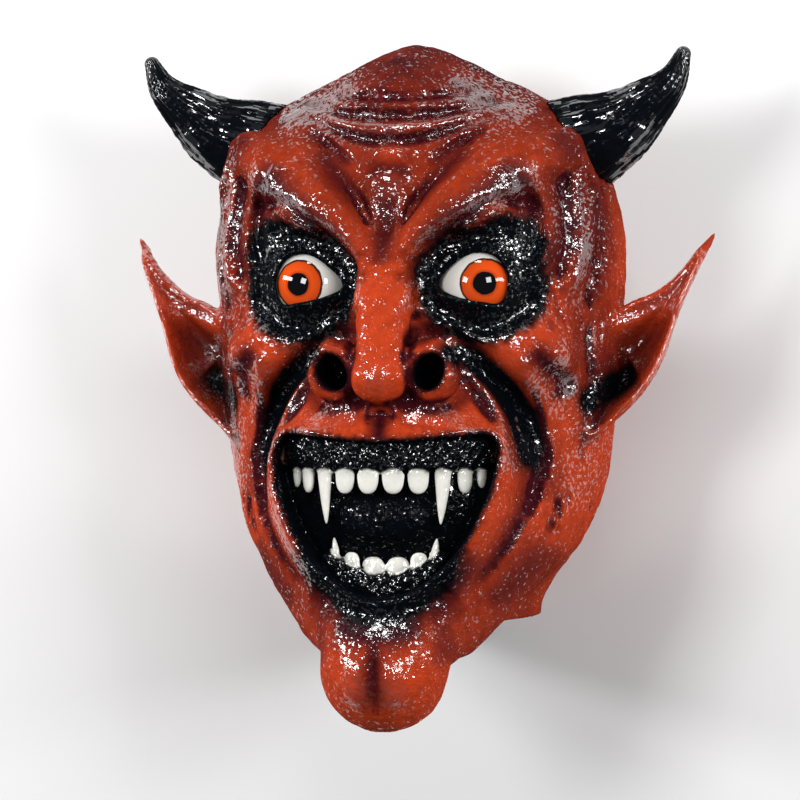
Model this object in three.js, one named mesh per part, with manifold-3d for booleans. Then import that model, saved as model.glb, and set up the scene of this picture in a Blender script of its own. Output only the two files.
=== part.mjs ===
// Devil mask: a hollow head of moulded latex with horns, eyes and teeth of its own.
// Millimetres, +Z up. The mask lies on the back of its head with the face up:
// +X is the viewer's right, +Y runs from the chin to the crown, +Z is the way the face looks.
import * as THREE from 'three';
import { mergeVertices } from 'three/addons/utils/BufferGeometryUtils.js';
import Module from 'manifold-3d';

const wasm = await Module();
wasm.setup();

// Driving dimensions
const HEAD_WIDTH = 230;
const HEAD_LENGTH = 366;
const HEAD_DEPTH = 224;
const WALL = 3;
const GAP = 0.3;
const REST_FLAT = 7;
const EYE_RADIUS = 23;
const EYE_DEPTH = 16;
const EYE_OPENING_WIDTH = 38;
const EYE_OPENING_HEIGHT = 27;
const NOSTRIL_WIDTH = 16.5;
const MOUTH_WIDTH = 116;
const MOUTH_HEIGHT = 80;
const MOUTH_DEPTH = 26;
const TOOTH_THICKNESS = 6;
const TOOTH_SINK = 5;
const GUM_BAR = 7;
const UPPER_GUM = 14;
const LOWER_GUM = 10;
const HORN_BASE = 64;
const HORN_TIP = 9;
const HORN_LENGTH = 118;
const EAR_LENGTH = 112;
const EAR_WIDTH = 56;
const EAR_THICKNESS = 6;

// The head's form is drawn on a pattern of 230 x 366 x 224 units and stretched to its real size
const PATTERN = new THREE.Vector3(230, 366, 224);
const STRETCH = new THREE.Vector3(HEAD_WIDTH, HEAD_LENGTH, HEAD_DEPTH).divide(PATTERN);
const HEART = [0, -10, 118];

function onHead(x, y, z) {
  return new THREE.Vector3(x, y, z).multiply(STRETCH);
}

function softUnion(a, b, k) {
  const h = Math.max(k - Math.abs(a - b), 0) / k;
  return Math.min(a, b) - h * h * k / 4;
}

function softCut(a, b, k) {
  return -softUnion(-a, b, k);
}

function egg(x, y, z, [cx, cy, cz], [rx, ry, rz]) {
  const u = [(x - cx) / rx, (y - cy) / ry, (z - cz) / rz];
  const near = Math.hypot(...u);
  const steep = Math.hypot(u[0] / rx, u[1] / ry, u[2] / rz);
  return steep > 0 ? near * (near - 1) / steep : -Math.min(rx, ry, rz);
}

// A roll runs through points [x, y, z, radius] with round sides
function roll(x, y, z, points) {
  let best = Infinity;
  for (let i = 1; i < points.length; i++) {
    const [ax, ay, az, ar] = points[i - 1];
    const [bx, by, bz, br] = points[i];
    const d = [bx - ax, by - ay, bz - az];
    const p = [x - ax, y - ay, z - az];
    const along = (p[0] * d[0] + p[1] * d[1] + p[2] * d[2]) / (d[0] ** 2 + d[1] ** 2 + d[2] ** 2);
    const t = Math.min(Math.max(along, 0), 1);
    const away = Math.hypot(p[0] - t * d[0], p[1] - t * d[1], p[2] - t * d[2]);
    best = Math.min(best, away - ar - t * (br - ar));
  }
  return best;
}

// A crease is a soft valley, or a welt where its depth is negative, seen from the front
function crease(x, y, z, { points, width, depth }) {
  const flat = points.map(([px, py]) => [px, py, 0, 0]);
  const away = roll(x, y, 0, flat) / width;
  const front = THREE.MathUtils.smoothstep(z, 95, 140);
  return depth * Math.exp(-away * away) * front;
}

// The forms of one half of the face; the other half mirrors it
const DOME = [[0, 75, 112], [115, 115, 112]];
const JAW = [[0, -22, 98], [106, 112, 92]];
const MUZZLE = [[0, -56, 165], [78, 80, 88]];
const JAW_ROLL = [[62, 5, 126, 40], [50, -60, 148, 42], [24, -114, 188, 34]];
const CHIN_ROLL = [[0, -100, 212, 33], [0, -126, 224, 32], [0, -141, 227, 34]];
const NECK_ROLL = [[0, -40, 92, 76], [0, -170, 82, 75]];
const NECK_NARROW = 1.2;
const BROW_ROLL = [[9, 70, 225, 13], [38, 96, 216, 16], [66, 122, 186, 15], [88, 122, 157, 13], [95, 80, 152, 10]];
const SOCKET = [[48, 58, 233], [34, 26, 25]];
const EYE = [44, 58, 191];
const NOSE_ROLL = [[0, 74, 222, 10], [0, 44, 231, 13.5], [0, 24, 238, 11.5], [0, 8, 240, 14.5]];
const NOSE_WING = [[25, 11, 229], [15, 16, 18]];
const NOSTRIL = [25.5, 9.5, 240];
const CHEEK = [[66, 22, 190], [32, 17, 27]];
const MOUTH_TOP = -27;
const TONGUE = [[0, -66, 222], [27, 17, 12]];
const NECK_CUT = [0, -126, 174];
const CREASES = [
  { points: [[36, 20], [50, 10], [64, -6], [74, -28], [73, -52]], width: 8.5, depth: 11 },
  { points: [[0, 84], [0, 118]], width: 6, depth: 4 },
  { points: [[0, 134], [14, 134], [30, 139], [50, 149]], width: 6, depth: 3 },
  { points: [[0, -114], [16, -113], [32, -104]], width: 9, depth: 8 },
  { points: [[0, -140], [0, -166]], width: 5, depth: 3 },
  { points: [[64, -30], [60, -56], [48, -82], [34, -102]], width: 8, depth: -4 },
  { points: [[0, -22], [30, -20], [54, -18]], width: 7, depth: -3 },
  { points: [[85, 118], [89, 96], [89, 78], [84, 60]], width: 6, depth: 3 },
];

function headForm(rawX, y, z) {
  const x = Math.abs(rawX);
  let form = egg(x, y, z, ...DOME);
  form = softUnion(form, egg(x, y, z, ...JAW), 40);
  form = softUnion(form, roll(x * NECK_NARROW, y, z, NECK_ROLL), 20);
  form = softUnion(form, roll(x, y, z, JAW_ROLL), 24);
  form = softUnion(form, egg(x, y, z, ...MUZZLE), 18);
  form = softUnion(form, roll(x, y, z, CHIN_ROLL), 16);
  form = softUnion(form, egg(x, y, z, ...CHEEK), 16);
  form = softUnion(form, roll(x, y, z, BROW_ROLL), 18);
  form = softCut(form, egg(x, y, z, ...SOCKET), 16);
  form = softUnion(form, roll(x, y, z, NOSE_ROLL), 9);
  form = softUnion(form, egg(x, y, z, ...NOSE_WING), 6);
  for (const fold of CREASES) form += crease(x, y, z, fold);
  return form;
}

// How far a form reaches from the heart of the head along a direction
function reach(form, direction) {
  let near = 20;
  let far = 300;
  let r = far;
  while (r > near) {
    const f = form(HEART[0] + r * direction.x, HEART[1] + r * direction.y, HEART[2] + r * direction.z);
    if (f < 0) break;
    far = r;
    r -= Math.max(0.6 * f, 0.8);
  }
  near = Math.max(r, near);
  for (let step = 0; step < 14; step++) {
    const middle = (near + far) / 2;
    const f = form(
      HEART[0] + middle * direction.x, HEART[1] + middle * direction.y, HEART[2] + middle * direction.z,
    );
    if (f < 0) near = middle;
    else far = middle;
  }
  return (near + far) / 2;
}

// Directions round the head, closer together on the face: tilt from +Y, turn from +Z about Y
function tiltAt(share) {
  return Math.PI * (share - 0.055 * Math.sin(2 * Math.PI * share));
}

function turnAt(share) {
  const side = 2 * share - 1;
  return Math.PI * (0.5 * side + 0.5 * Math.sign(side) * Math.abs(side) ** 2.6);
}

function directionAt(tiltShare, turnShare) {
  const tilt = tiltAt(tiltShare);
  const turn = turnAt(turnShare);
  return new THREE.Vector3(Math.sin(tilt) * Math.sin(turn), Math.cos(tilt), Math.sin(tilt) * Math.cos(turn));
}

// A closed skin over rings of points, with a point at each end
function closedRings(rings, first, last) {
  const count = rings[0].length;
  const position = [first, ...rings.flat(), last].flatMap((p) => [p.x, p.y, p.z]);
  const end = rings.length * count + 1;
  const index = [];
  for (let i = 0; i < count; i++) {
    const j = (i + 1) % count;
    index.push(0, 1 + j, 1 + i);
    for (let ring = 0; ring < rings.length - 1; ring++) {
      const a = 1 + ring * count;
      const b = a + count;
      index.push(a + i, a + j, b + i, a + j, b + j, b + i);
    }
    index.push(end, end - count + i, end - count + j);
  }
  const geometry = new THREE.BufferGeometry();
  geometry.setAttribute('position', new THREE.Float32BufferAttribute(position, 3));
  geometry.setIndex(index);
  return geometry;
}

function toSolid(geometry) {
  const bare = geometry.clone();
  bare.deleteAttribute('normal');
  bare.deleteAttribute('uv');
  const merged = mergeVertices(bare, 1e-4);
  const mesh = new wasm.Mesh({
    numProp: 3,
    vertProperties: new Float32Array(merged.attributes.position.array),
    triVerts: new Uint32Array(merged.index.array),
  });
  const solid = new wasm.Manifold(mesh);
  return solid.volume() < 0 ? toSolid(turnedInsideOut(merged)) : solid;
}

function turnedInsideOut(geometry) {
  const flipped = geometry.clone();
  const order = Array.from(geometry.index.array);
  for (let i = 0; i < order.length; i += 3) [order[i], order[i + 1]] = [order[i + 1], order[i]];
  flipped.setIndex(order);
  return flipped;
}

function toGeometry(solid) {
  const mesh = solid.getMesh();
  const geometry = new THREE.BufferGeometry();
  geometry.setAttribute('position', new THREE.Float32BufferAttribute(mesh.vertProperties, 3));
  geometry.setIndex(Array.from(mesh.triVerts));
  return geometry;
}

function joined(solids) {
  return solids.reduce((whole, piece) => whole.add(piece));
}

function blockSolid(low, high) {
  const size = new THREE.Vector3().subVectors(high, low);
  const box = new THREE.BoxGeometry(size.x, size.y, size.z);
  box.translate((low.x + high.x) / 2, (low.y + high.y) / 2, (low.z + high.z) / 2);
  return toSolid(box);
}

function eggSolid(centre, radii, columns, rows) {
  const ball = new THREE.SphereGeometry(1, columns, rows);
  ball.rotateX(Math.PI / 2);
  ball.scale(radii.x, radii.y, radii.z);
  ball.translate(centre.x, centre.y, centre.z);
  return toSolid(ball);
}

// The head's outer skin as a solid, grown outwards by a margin
const FACE_ROWS = 40;
const FACE_COLUMNS = 40;

function headRings(rows, columns, place) {
  const rings = [];
  for (let row = 1; row < rows; row++) {
    rings.push(Array.from({ length: columns }, (unused, i) => place(row / rows, i / columns)));
  }
  return closedRings(rings, place(0, 0), place(1, 0));
}

function surfacePoint(form, tiltShare, turnShare, margin = 0) {
  const direction = directionAt(tiltShare, turnShare);
  const r = reach(form, direction);
  const point = onHead(...HEART.map((c, i) => c + r * direction.getComponent(i)));
  return point.addScaledVector(direction, margin);
}

function outerSolid(margin) {
  return toSolid(headRings(FACE_ROWS, FACE_COLUMNS, (a, b) => surfacePoint(headForm, a, b, margin)));
}

// The hollow follows the plain forms under the carving, a full wall inside the skin
const HOLLOW_ROWS = 20;
const HOLLOW_COLUMNS = 20;

function hollowForm(rawX, y, z) {
  const x = Math.abs(rawX);
  let form = egg(x, y, z, ...DOME);
  form = softUnion(form, egg(x, y, z, ...JAW), 40);
  form = softUnion(form, roll(x * NECK_NARROW, y, z, NECK_ROLL), 20);
  form = softUnion(form, egg(x, y, z, ...MUZZLE), 18);
  form = softUnion(form, roll(x, y, z, CHIN_ROLL) + 4, 16);
  form = softCut(form, egg(x, y, z, ...SOCKET), 14);
  return form + WALL / Math.min(STRETCH.x, STRETCH.y, STRETCH.z);
}

function hollowSolid() {
  const plain = toSolid(headRings(HOLLOW_ROWS, HOLLOW_COLUMNS, (a, b) => surfacePoint(hollowForm, a, b)));
  return plain.intersect(outerSolid(-0.8 * WALL));
}

// The mouth is a pit in the muzzle: its outline in shares of its width and height, its floor curved
const MOUTH_EDGE = [
  [0, 0], [0.34, 0.01], [0.7, 0.035], [0.93, 0.04], [1, -0.06], [0.97, -0.26], [0.88, -0.44],
  [0.74, -0.64], [0.56, -0.8], [0.34, -0.93], [0.14, -0.99],
];

function mouthOutline(margin) {
  const right = MOUTH_EDGE.map(([u, v]) => [u * MOUTH_WIDTH / 2, v * MOUTH_HEIGHT]);
  const left = right.slice(1).reverse().map(([x, y]) => [-x, y]);
  const middle = -MOUTH_HEIGHT / 2;
  const top = onHead(0, MOUTH_TOP, 0).y;
  const widen = 1 + 2 * margin / MOUTH_WIDTH;
  const heighten = 1 + 2 * margin / MOUTH_HEIGHT;
  const points = [...right, ...left].map(([x, y]) => (
    new THREE.Vector2(x * widen, top + middle + (y - middle) * heighten)
  ));
  return new THREE.Shape(points);
}

function mouthFloor(depth) {
  const [centre, radii] = MUZZLE;
  const size = onHead(...radii).sub(new THREE.Vector3(0, 0, depth));
  return eggSolid(onHead(...centre), size, 20, 12);
}

function mouthPit(margin) {
  const column = new THREE.ExtrudeGeometry(mouthOutline(margin), { depth: HEAD_DEPTH, bevelEnabled: false });
  column.translate(0, 0, onHead(...MUZZLE[0]).z);
  return toSolid(column).subtract(mouthFloor(MOUTH_DEPTH + margin));
}

function tongueSolid() {
  const [place, size] = TONGUE;
  const centre = onHead(...place);
  centre.z = onHead(...MUZZLE[0]).z + onHead(...MUZZLE[1]).z - MOUTH_DEPTH - size[2] / 3;
  return eggSolid(centre, onHead(...size), 16, 10);
}

// The arch follows the muzzle, inset behind the lips; x along it, y as given
function archPoint(x, y, inset) {
  const [centre, radii] = MUZZLE;
  const c = onHead(...centre);
  const r = onHead(...radii).subScalar(inset);
  const rest = Math.max(1 - ((x - c.x) / r.x) ** 2 - ((y - c.y) / r.y) ** 2, 0.02);
  return new THREE.Vector3(x, y, c.z + r.z * Math.sqrt(rest));
}

function archAcross(x, y, inset) {
  const ahead = archPoint(x + 1, y, inset);
  const behind = archPoint(x - 1, y, inset);
  return ahead.sub(behind).normalize();
}

// A tooth is a stack of oval rings: how far each lies from root to tip, and its share of the full width
const TOOTH_SIDES = 6;
const FANG_STAGES = [[0, 1], [0.4, 0.86], [0.75, 0.52], [0.96, 0.16]];
const BLUNT_STAGES = [[0, 0.9], [0.75, 0.98], [0.97, 0.64]];

function toothSolid({ x, root, tip, width, sharp }, margin) {
  const inset = TOOTH_SINK + TOOTH_THICKNESS / 2;
  const across = archAcross(x, root, inset);
  const deep = new THREE.Vector3().crossVectors(across, new THREE.Vector3(0, 1, 0)).normalize();
  const foot = archPoint(x, root, inset);
  const rings = [];
  for (const [share, size] of sharp ? FANG_STAGES : BLUNT_STAGES) {
    const centre = foot.clone().setY(root + share * (tip - root));
    rings.push(Array.from({ length: TOOTH_SIDES }, (unused, i) => {
      const angle = 2 * Math.PI * i / TOOTH_SIDES;
      return centre.clone()
        .addScaledVector(across, (0.5 * width * size + margin) * Math.cos(angle))
        .addScaledVector(deep, (0.5 * TOOTH_THICKNESS * size + margin) * Math.sin(angle));
    }));
  }
  const beyond = Math.sign(tip - root) * margin;
  return toSolid(closedRings(rings, foot.clone().setY(root - beyond), foot.clone().setY(tip + beyond)));
}

// The gum joins the teeth's roots and stands over them by a height; a margin makes the pocket that it sits in
function gumBar({ rootAt, reachX, height, direction }, margin) {
  const inset = TOOTH_SINK + TOOTH_THICKNESS / 2;
  const rings = [];
  const steps = 8;
  for (let i = 0; i <= steps; i++) {
    const x = reachX * (2 * i / steps - 1);
    const y = rootAt(x);
    const centre = archPoint(x, y, inset);
    const across = archAcross(x, y, inset);
    const deep = new THREE.Vector3().crossVectors(across, new THREE.Vector3(0, 1, 0)).normalize();
    const half = GUM_BAR / 2 + margin;
    const tall = (GUM_BAR / 2 + height) / 2 + margin;
    centre.y += direction * (height - GUM_BAR / 2) / 2;
    const end = i === 0 ? -margin : i === steps ? margin : 0;
    rings.push(Array.from({ length: 8 }, (unused, k) => {
      const angle = Math.PI * (2 * k + 1) / 8;
      return centre.clone()
        .addScaledVector(across, end)
        .addScaledVector(deep, half * Math.cos(angle))
        .add(new THREE.Vector3(0, tall * Math.sin(angle), 0));
    }));
  }
  const middleOf = (ring) => ring.reduce((sum, p) => sum.add(p), new THREE.Vector3()).divideScalar(ring.length);
  return toSolid(closedRings(rings, middleOf(rings[0]), middleOf(rings[steps])));
}

// Tooth rows in shares of the mouth: place, width and length of the teeth of the right half
const UPPER_ROW = [
  { at: 0.115, width: 0.21, length: 0.33 },
  { at: 0.335, width: 0.2, length: 0.33 },
  { at: 0.545, width: 0.18, length: 0.52, sharp: true },
  { at: 0.72, width: 0.15, length: 0.32 },
  { at: 0.85, width: 0.1, length: 0.3 },
];
const LOWER_ROW = [
  { at: 0.115, width: 0.21, length: 0.23 },
  { at: 0.31, width: 0.16, length: 0.21 },
  { at: 0.45, width: 0.12, length: 0.22, sharp: true },
];

function mouthY(share) {
  return onHead(0, MOUTH_TOP, 0).y - share * MOUTH_HEIGHT;
}

// The gum line runs along the lip, bowed by a share of the mouth's height
function toothRow(row, rootShare, bow, direction, height) {
  const half = MOUTH_WIDTH / 2;
  const rootAt = (x) => mouthY(rootShare - bow * (x / half) ** 2);
  const teeth = [];
  const sockets = [];
  for (const side of [-1, 1]) {
    for (const { at, width, length, sharp } of row) {
      const root = rootAt(at * half);
      const tooth = {
        x: side * at * half,
        root: root - direction * GUM_BAR / 6,
        tip: root + direction * length * MOUTH_HEIGHT,
        width: width * half,
        sharp,
      };
      teeth.push(toothSolid(tooth, 0));
      sockets.push(toothSolid(tooth, GAP));
    }
  }
  const last = row[row.length - 1];
  const gum = { rootAt, reachX: (last.at + last.width / 2) * half, height, direction };
  return {
    solid: joined([gumBar(gum, 0), ...teeth]),
    pocket: joined([gumBar(gum, GAP), ...sockets]),
  };
}

// Eyes are domes behind the lids
function eyeCentre(side) {
  return onHead(side * EYE[0], EYE[1], EYE[2]);
}

function eyeSolid(side) {
  const centre = eyeCentre(side);
  const ball = eggSolid(centre, new THREE.Vector3(1, 1, 1).multiplyScalar(EYE_RADIUS), 20, 14);
  const top = centre.z + EYE_RADIUS;
  const reachOut = 2 * EYE_RADIUS;
  const front = blockSolid(
    new THREE.Vector3(centre.x - reachOut, centre.y - reachOut, top - EYE_DEPTH),
    new THREE.Vector3(centre.x + reachOut, centre.y + reachOut, top + EYE_DEPTH),
  );
  return ball.intersect(front);
}

function lidSolid(side) {
  const size = new THREE.Vector3(1, 1, 1).multiplyScalar(EYE_RADIUS + GAP + WALL);
  return eggSolid(eyeCentre(side), size, 20, 14);
}

function eyePocket(side) {
  const size = new THREE.Vector3(1, 1, 1).multiplyScalar(EYE_RADIUS + GAP);
  return eggSolid(eyeCentre(side), size, 20, 14);
}

// The opening between the lids, in shares of its half width and height from the nose outwards
const EYE_EDGE = [
  [-1, -0.28], [-0.57, 0.47], [-0.1, 0.93], [0.32, 1], [0.73, 0.77], [1, 0.17], [1, -0.5], [0.8, -1],
  [0.24, -0.92], [-0.4, -0.73],
];

function eyeOpening(side) {
  const edge = EYE_EDGE.map(([u, v]) => new THREE.Vector2(u * EYE_OPENING_WIDTH / 2, v * EYE_OPENING_HEIGHT / 2));
  const shape = new THREE.Shape(edge);
  const column = new THREE.ExtrudeGeometry(shape, { depth: HEAD_DEPTH, bevelEnabled: false });
  if (side < 0) column.rotateY(Math.PI).translate(0, 0, HEAD_DEPTH);
  const centre = eyeCentre(side);
  column.translate(centre.x, centre.y + EYE_RADIUS / 12, centre.z);
  return toSolid(column);
}

function nostrilCut(side) {
  const [x, y, z] = NOSTRIL;
  const size = new THREE.Vector3(NOSTRIL_WIDTH / 2, NOSTRIL_WIDTH / 2, 2.6 * NOSTRIL_WIDTH);
  return eggSolid(onHead(side * x, y, z), size, 12, 10);
}

// An ear is a pointed cup: each section is a crescent from its rim at the face to its outer rim
const EAR_SECTIONS = [
  { share: 0, out: 0.16, width: 0.1, cup: 0.02 },
  { share: 0.06, out: 0.17, width: 0.3, cup: 0.06 },
  { share: 0.13, out: 0.25, width: 0.5, cup: 0.16 },
  { share: 0.24, out: 0.33, width: 0.74, cup: 0.28 },
  { share: 0.36, out: 0.42, width: 0.88, cup: 0.34 },
  { share: 0.5, out: 0.52, width: 0.86, cup: 0.32 },
  { share: 0.62, out: 0.66, width: 0.72, cup: 0.24 },
  { share: 0.72, out: 0.86, width: 0.46, cup: 0.13 },
  { share: 0.82, out: 1.06, width: 0.26, cup: 0.06 },
  { share: 0.93, out: 1.22, width: 0.14, cup: 0.02 },
];
const EAR_ROOT = [90, -26, 145];
const EAR_SLOPE = 0.29;

function earSolid(side) {
  const root = onHead(...EAR_ROOT);
  const halfSides = 7;
  const rings = EAR_SECTIONS.map(({ share, out, width, cup }) => {
    const ring = [];
    const y = root.y + share * EAR_LENGTH;
    const middle = root.x + out * EAR_WIDTH;
    const half = width * EAR_WIDTH / 2;
    const line = root.z - EAR_SLOPE * share * EAR_LENGTH;
    const frontAt = (a) => line - cup * EAR_WIDTH * (1 - a * a) - 0.12 * a * half;
    for (let k = 0; k <= halfSides; k++) {
      const a = 2 * k / halfSides - 1;
      ring.push(new THREE.Vector3(side * (middle + a * half), y, frontAt(a)));
    }
    for (let k = halfSides; k >= 0; k--) {
      const a = (2 * k / halfSides - 1) * 0.94;
      const thick = EAR_THICKNESS * (1.25 - 0.75 * a * a);
      ring.push(new THREE.Vector3(side * (middle + a * half), y, frontAt(a) - thick));
    }
    return ring;
  });
  const middleOf = (ring) => ring.reduce((sum, p) => sum.add(p), new THREE.Vector3()).divideScalar(ring.length);
  const tip = middleOf(rings[rings.length - 1]).add(new THREE.Vector3(side * 0.1 * EAR_WIDTH, 0.07 * EAR_LENGTH, 0));
  return toSolid(closedRings(rings, middleOf(rings[0]), tip));
}

// A horn sweeps out and then up along a curve, round and tapering
const HORN_ROOT = [92, 137, 122];
const HORN_SIDES = 14;

function hornSolid(side) {
  const root = onHead(...HORN_ROOT);
  const along = (u, v, w) => new THREE.Vector3(
    side * (root.x + u * HORN_LENGTH), root.y + v * HORN_LENGTH, root.z + w * HORN_LENGTH,
  );
  const path = new THREE.CatmullRomCurve3([
    along(-0.2, -0.08, -0.02), along(0, 0, 0), along(0.17, 0.07, 0.03), along(0.29, 0.15, 0.06),
    along(0.43, 0.29, 0.09), along(0.5, 0.44, 0.12),
  ]);
  const steps = 13;
  const frames = path.computeFrenetFrames(steps, false);
  const rings = [];
  for (let i = 0; i < steps; i++) {
    const share = i / steps;
    const centre = path.getPointAt(share);
    const size = HORN_TIP / 2 + (HORN_BASE - HORN_TIP) / 2 * (1 - share);
    rings.push(Array.from({ length: HORN_SIDES }, (unused, k) => {
      const angle = 2 * Math.PI * k / HORN_SIDES;
      return centre.clone()
        .addScaledVector(frames.normals[i], size * Math.cos(angle))
        .addScaledVector(frames.binormals[i], size * Math.sin(angle));
    }));
  }
  return toSolid(closedRings(rings, path.getPointAt(0), path.getPointAt(1)));
}

function neckCutter() {
  const low = new THREE.Vector3(-HEAD_WIDTH, -HEAD_LENGTH, -HEAD_DEPTH);
  return blockSolid(low, onHead(...NECK_CUT).setX(HEAD_WIDTH));
}

function backCutter(margin) {
  const low = new THREE.Vector3(-HEAD_WIDTH, -HEAD_LENGTH, -HEAD_DEPTH);
  return blockSolid(low, new THREE.Vector3(HEAD_WIDTH, HEAD_LENGTH, REST_FLAT + margin));
}

const upper = toothRow(UPPER_ROW, 0, 0, -1, UPPER_GUM);
const lower = toothRow(LOWER_ROW, 0.985, 0.6, 1, LOWER_GUM);
const outer = outerSolid(0);
const grown = outerSolid(GAP);

function skinSolid() {
  let hollow = hollowSolid();
  hollow = hollow.subtract(mouthPit(WALL + GUM_BAR / 2));
  hollow = hollow.subtract(backCutter(WALL));
  let skin = outer;
  for (const side of [-1, 1]) skin = skin.add(earSolid(side)).add(lidSolid(side));
  skin = skin.subtract(mouthPit(0)).add(tongueSolid()).subtract(hollow);
  skin = skin.subtract(neckCutter()).subtract(backCutter(0));
  for (const side of [-1, 1]) {
    skin = skin.subtract(eyePocket(side)).subtract(eyeOpening(side)).subtract(nostrilCut(side));
  }
  return skin.subtract(upper.pocket).subtract(lower.pocket);
}

const latex = { color: 0xb33a20, roughness: 0.35, metalness: 0 };
const black = { color: 0x101318, roughness: 0.3, metalness: 0 };
const cream = { color: 0xf1e9d2, roughness: 0.2, metalness: 0 };

function named(name, solid, finish) {
  const mesh = new THREE.Mesh(toGeometry(solid), new THREE.MeshStandardMaterial(finish));
  mesh.name = name;
  return mesh;
}

const mask = new THREE.Group();
mask.add(named('mask_skin', skinSolid(), latex));
mask.add(named('horn_left', hornSolid(-1).subtract(grown), black));
mask.add(named('horn_right', hornSolid(1).subtract(grown), black));
mask.add(named('eye_left', eyeSolid(-1), cream));
mask.add(named('eye_right', eyeSolid(1), cream));
mask.add(named('upper_teeth', upper.solid, cream));
mask.add(named('lower_teeth', lower.solid, cream));

// The flat spot at the back of the head rests on the floor, with the middle of the whole box over the origin
const box = new THREE.Box3().setFromObject(mask);
const middle = box.getCenter(new THREE.Vector3());
mask.position.set(-middle.x, -middle.y, -box.min.z);

export default mask;
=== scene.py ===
"""Devil mask: a glossy moulded head of painted latex with horns, eyes and teeth of its own.

Run as a script, it loads the fixed frame, dresses every node of it and sets the stage.
The sculpture is drawn in millimetres on the pattern of the head and moved into the frame at the end.
"""
import math

import bpy
import numpy as np
from mathutils import Matrix, Vector


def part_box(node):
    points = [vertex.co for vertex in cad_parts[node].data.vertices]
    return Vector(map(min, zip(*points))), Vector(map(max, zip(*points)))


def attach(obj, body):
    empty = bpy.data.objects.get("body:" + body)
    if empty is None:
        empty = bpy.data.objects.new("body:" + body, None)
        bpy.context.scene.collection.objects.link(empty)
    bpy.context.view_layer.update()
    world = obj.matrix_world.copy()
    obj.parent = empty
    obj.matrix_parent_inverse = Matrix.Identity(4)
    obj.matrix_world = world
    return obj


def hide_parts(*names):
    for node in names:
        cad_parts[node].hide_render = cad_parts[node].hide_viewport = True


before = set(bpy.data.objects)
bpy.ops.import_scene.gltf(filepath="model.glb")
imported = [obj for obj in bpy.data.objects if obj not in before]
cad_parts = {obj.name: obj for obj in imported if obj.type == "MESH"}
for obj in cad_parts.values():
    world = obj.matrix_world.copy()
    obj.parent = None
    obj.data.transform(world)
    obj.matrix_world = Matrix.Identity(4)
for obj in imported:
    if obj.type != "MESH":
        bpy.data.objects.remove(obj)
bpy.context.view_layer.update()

bl_info = {
    "name": "Devil Mask",
    "version": (1, 0, 0),
    "blender": (4, 5, 0),
    "location": "View3D > Sidebar > Devil Mask",
    "description": "Builds the latex skin, horns, eyes and teeth of a devil mask on its frame",
    "category": "Add Mesh",
}

MM = 0.001

# Forms of the head, close to those of the solids: centres, radii and rolls in millimetres
DOME = ((0, 75, 112), (115, 115, 112))
JAW = ((0, -22, 98), (106, 112, 92))
MUZZLE = ((0, -56, 165), (78, 80, 88))
JAW_ROLL = ((62, 5, 126, 40), (50, -60, 148, 42), (23, -112, 190, 32))
CHIN_ROLL = ((0, -100, 212, 34), (0, -126, 223, 33.5), (0, -145, 227, 33.5))
NECK_ROLL = ((0, -40, 92, 76), (0, -170, 82, 75))
NECK_NARROW = 1.2
NECK_CUT = (-126, 174)
BROW_ROLL = (
    (9, 70, 225, 12.5), (36, 93, 218, 17.5), (64, 119, 192, 17), (86, 131, 165, 12), (97, 112, 158, 8.5),
    (99, 88, 158, 7.5), (92, 62, 172, 7),
)
SOCKET = ((48, 58, 233), (34, 26, 25))
EYE = (44, 58, 191)
EYE_RADIUS = 23
EYE_DEPTH = 16
LID_RADIUS = 26
NOSE_ROLL = ((0, 74, 222, 11), (0, 46, 228, 16.5), (0, 26, 236.5, 13), (0, 8, 239.5, 15))
NOSE_WING = ((25.5, 12, 228), (15.5, 17.5, 18))
NOSTRIL = ((25.5, 10, 240), (7.4, 9.8, 26))
NOSTRIL_TILT = math.radians(24)
CHEEK = ((63, 20, 184), (30, 17, 26))
MOUTH_TOP = -27
MOUTH_SIZE = (58, 80)
MOUTH_DEPTH = 26
TONGUE = ((0, -66, 222), (27, 17, 12))
FLAT_BACK = 7
WALL = 3
LINING_DEPTH = 2.9
GAP = 0.3
TOOTH_SINK = 5
TOOTH_THICKNESS = 6
GUM_BAR = 7

MOUTH_EDGE = (
    (0, 0), (0.34, 0.01), (0.7, 0.035), (0.93, 0.04), (1, -0.06), (0.97, -0.26), (0.88, -0.44),
    (0.74, -0.64), (0.56, -0.8), (0.34, -0.93), (0.14, -0.99),
)
EYE_EDGE = (
    (25, 56), (33, 66), (42, 72), (49.5, 73), (57, 70), (62, 62), (62, 53), (58.5, 46.5), (48, 47.5),
    (36, 50),
)
EAR_EDGE = (
    (88, -4), (92, -18), (100, -25), (110, -18), (120, -9), (131, 4), (139, 20), (144, 36), (149, 50),
    (156, 66), (161, 78), (164, 88), (156, 80), (148, 69), (139, 60), (130, 54), (120, 50), (108, 42),
    (96, 26),
)
EAR_BASE = (-25, 145)
EAR_LEAN = 0.29
EAR_CUP = 20
EAR_SHEET = 2.6
EAR_ROLL = ((160, 81), (154, 67), (142, 49), (119, 37), (102, 30), (93, 13), (89, -10))
EAR_FOLD = ((152, 54), (142, 33), (132, 11), (119, -4), (103, -13))
EAR_HOLE = ((93, -10), (107, 1), (122, 12))

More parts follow.
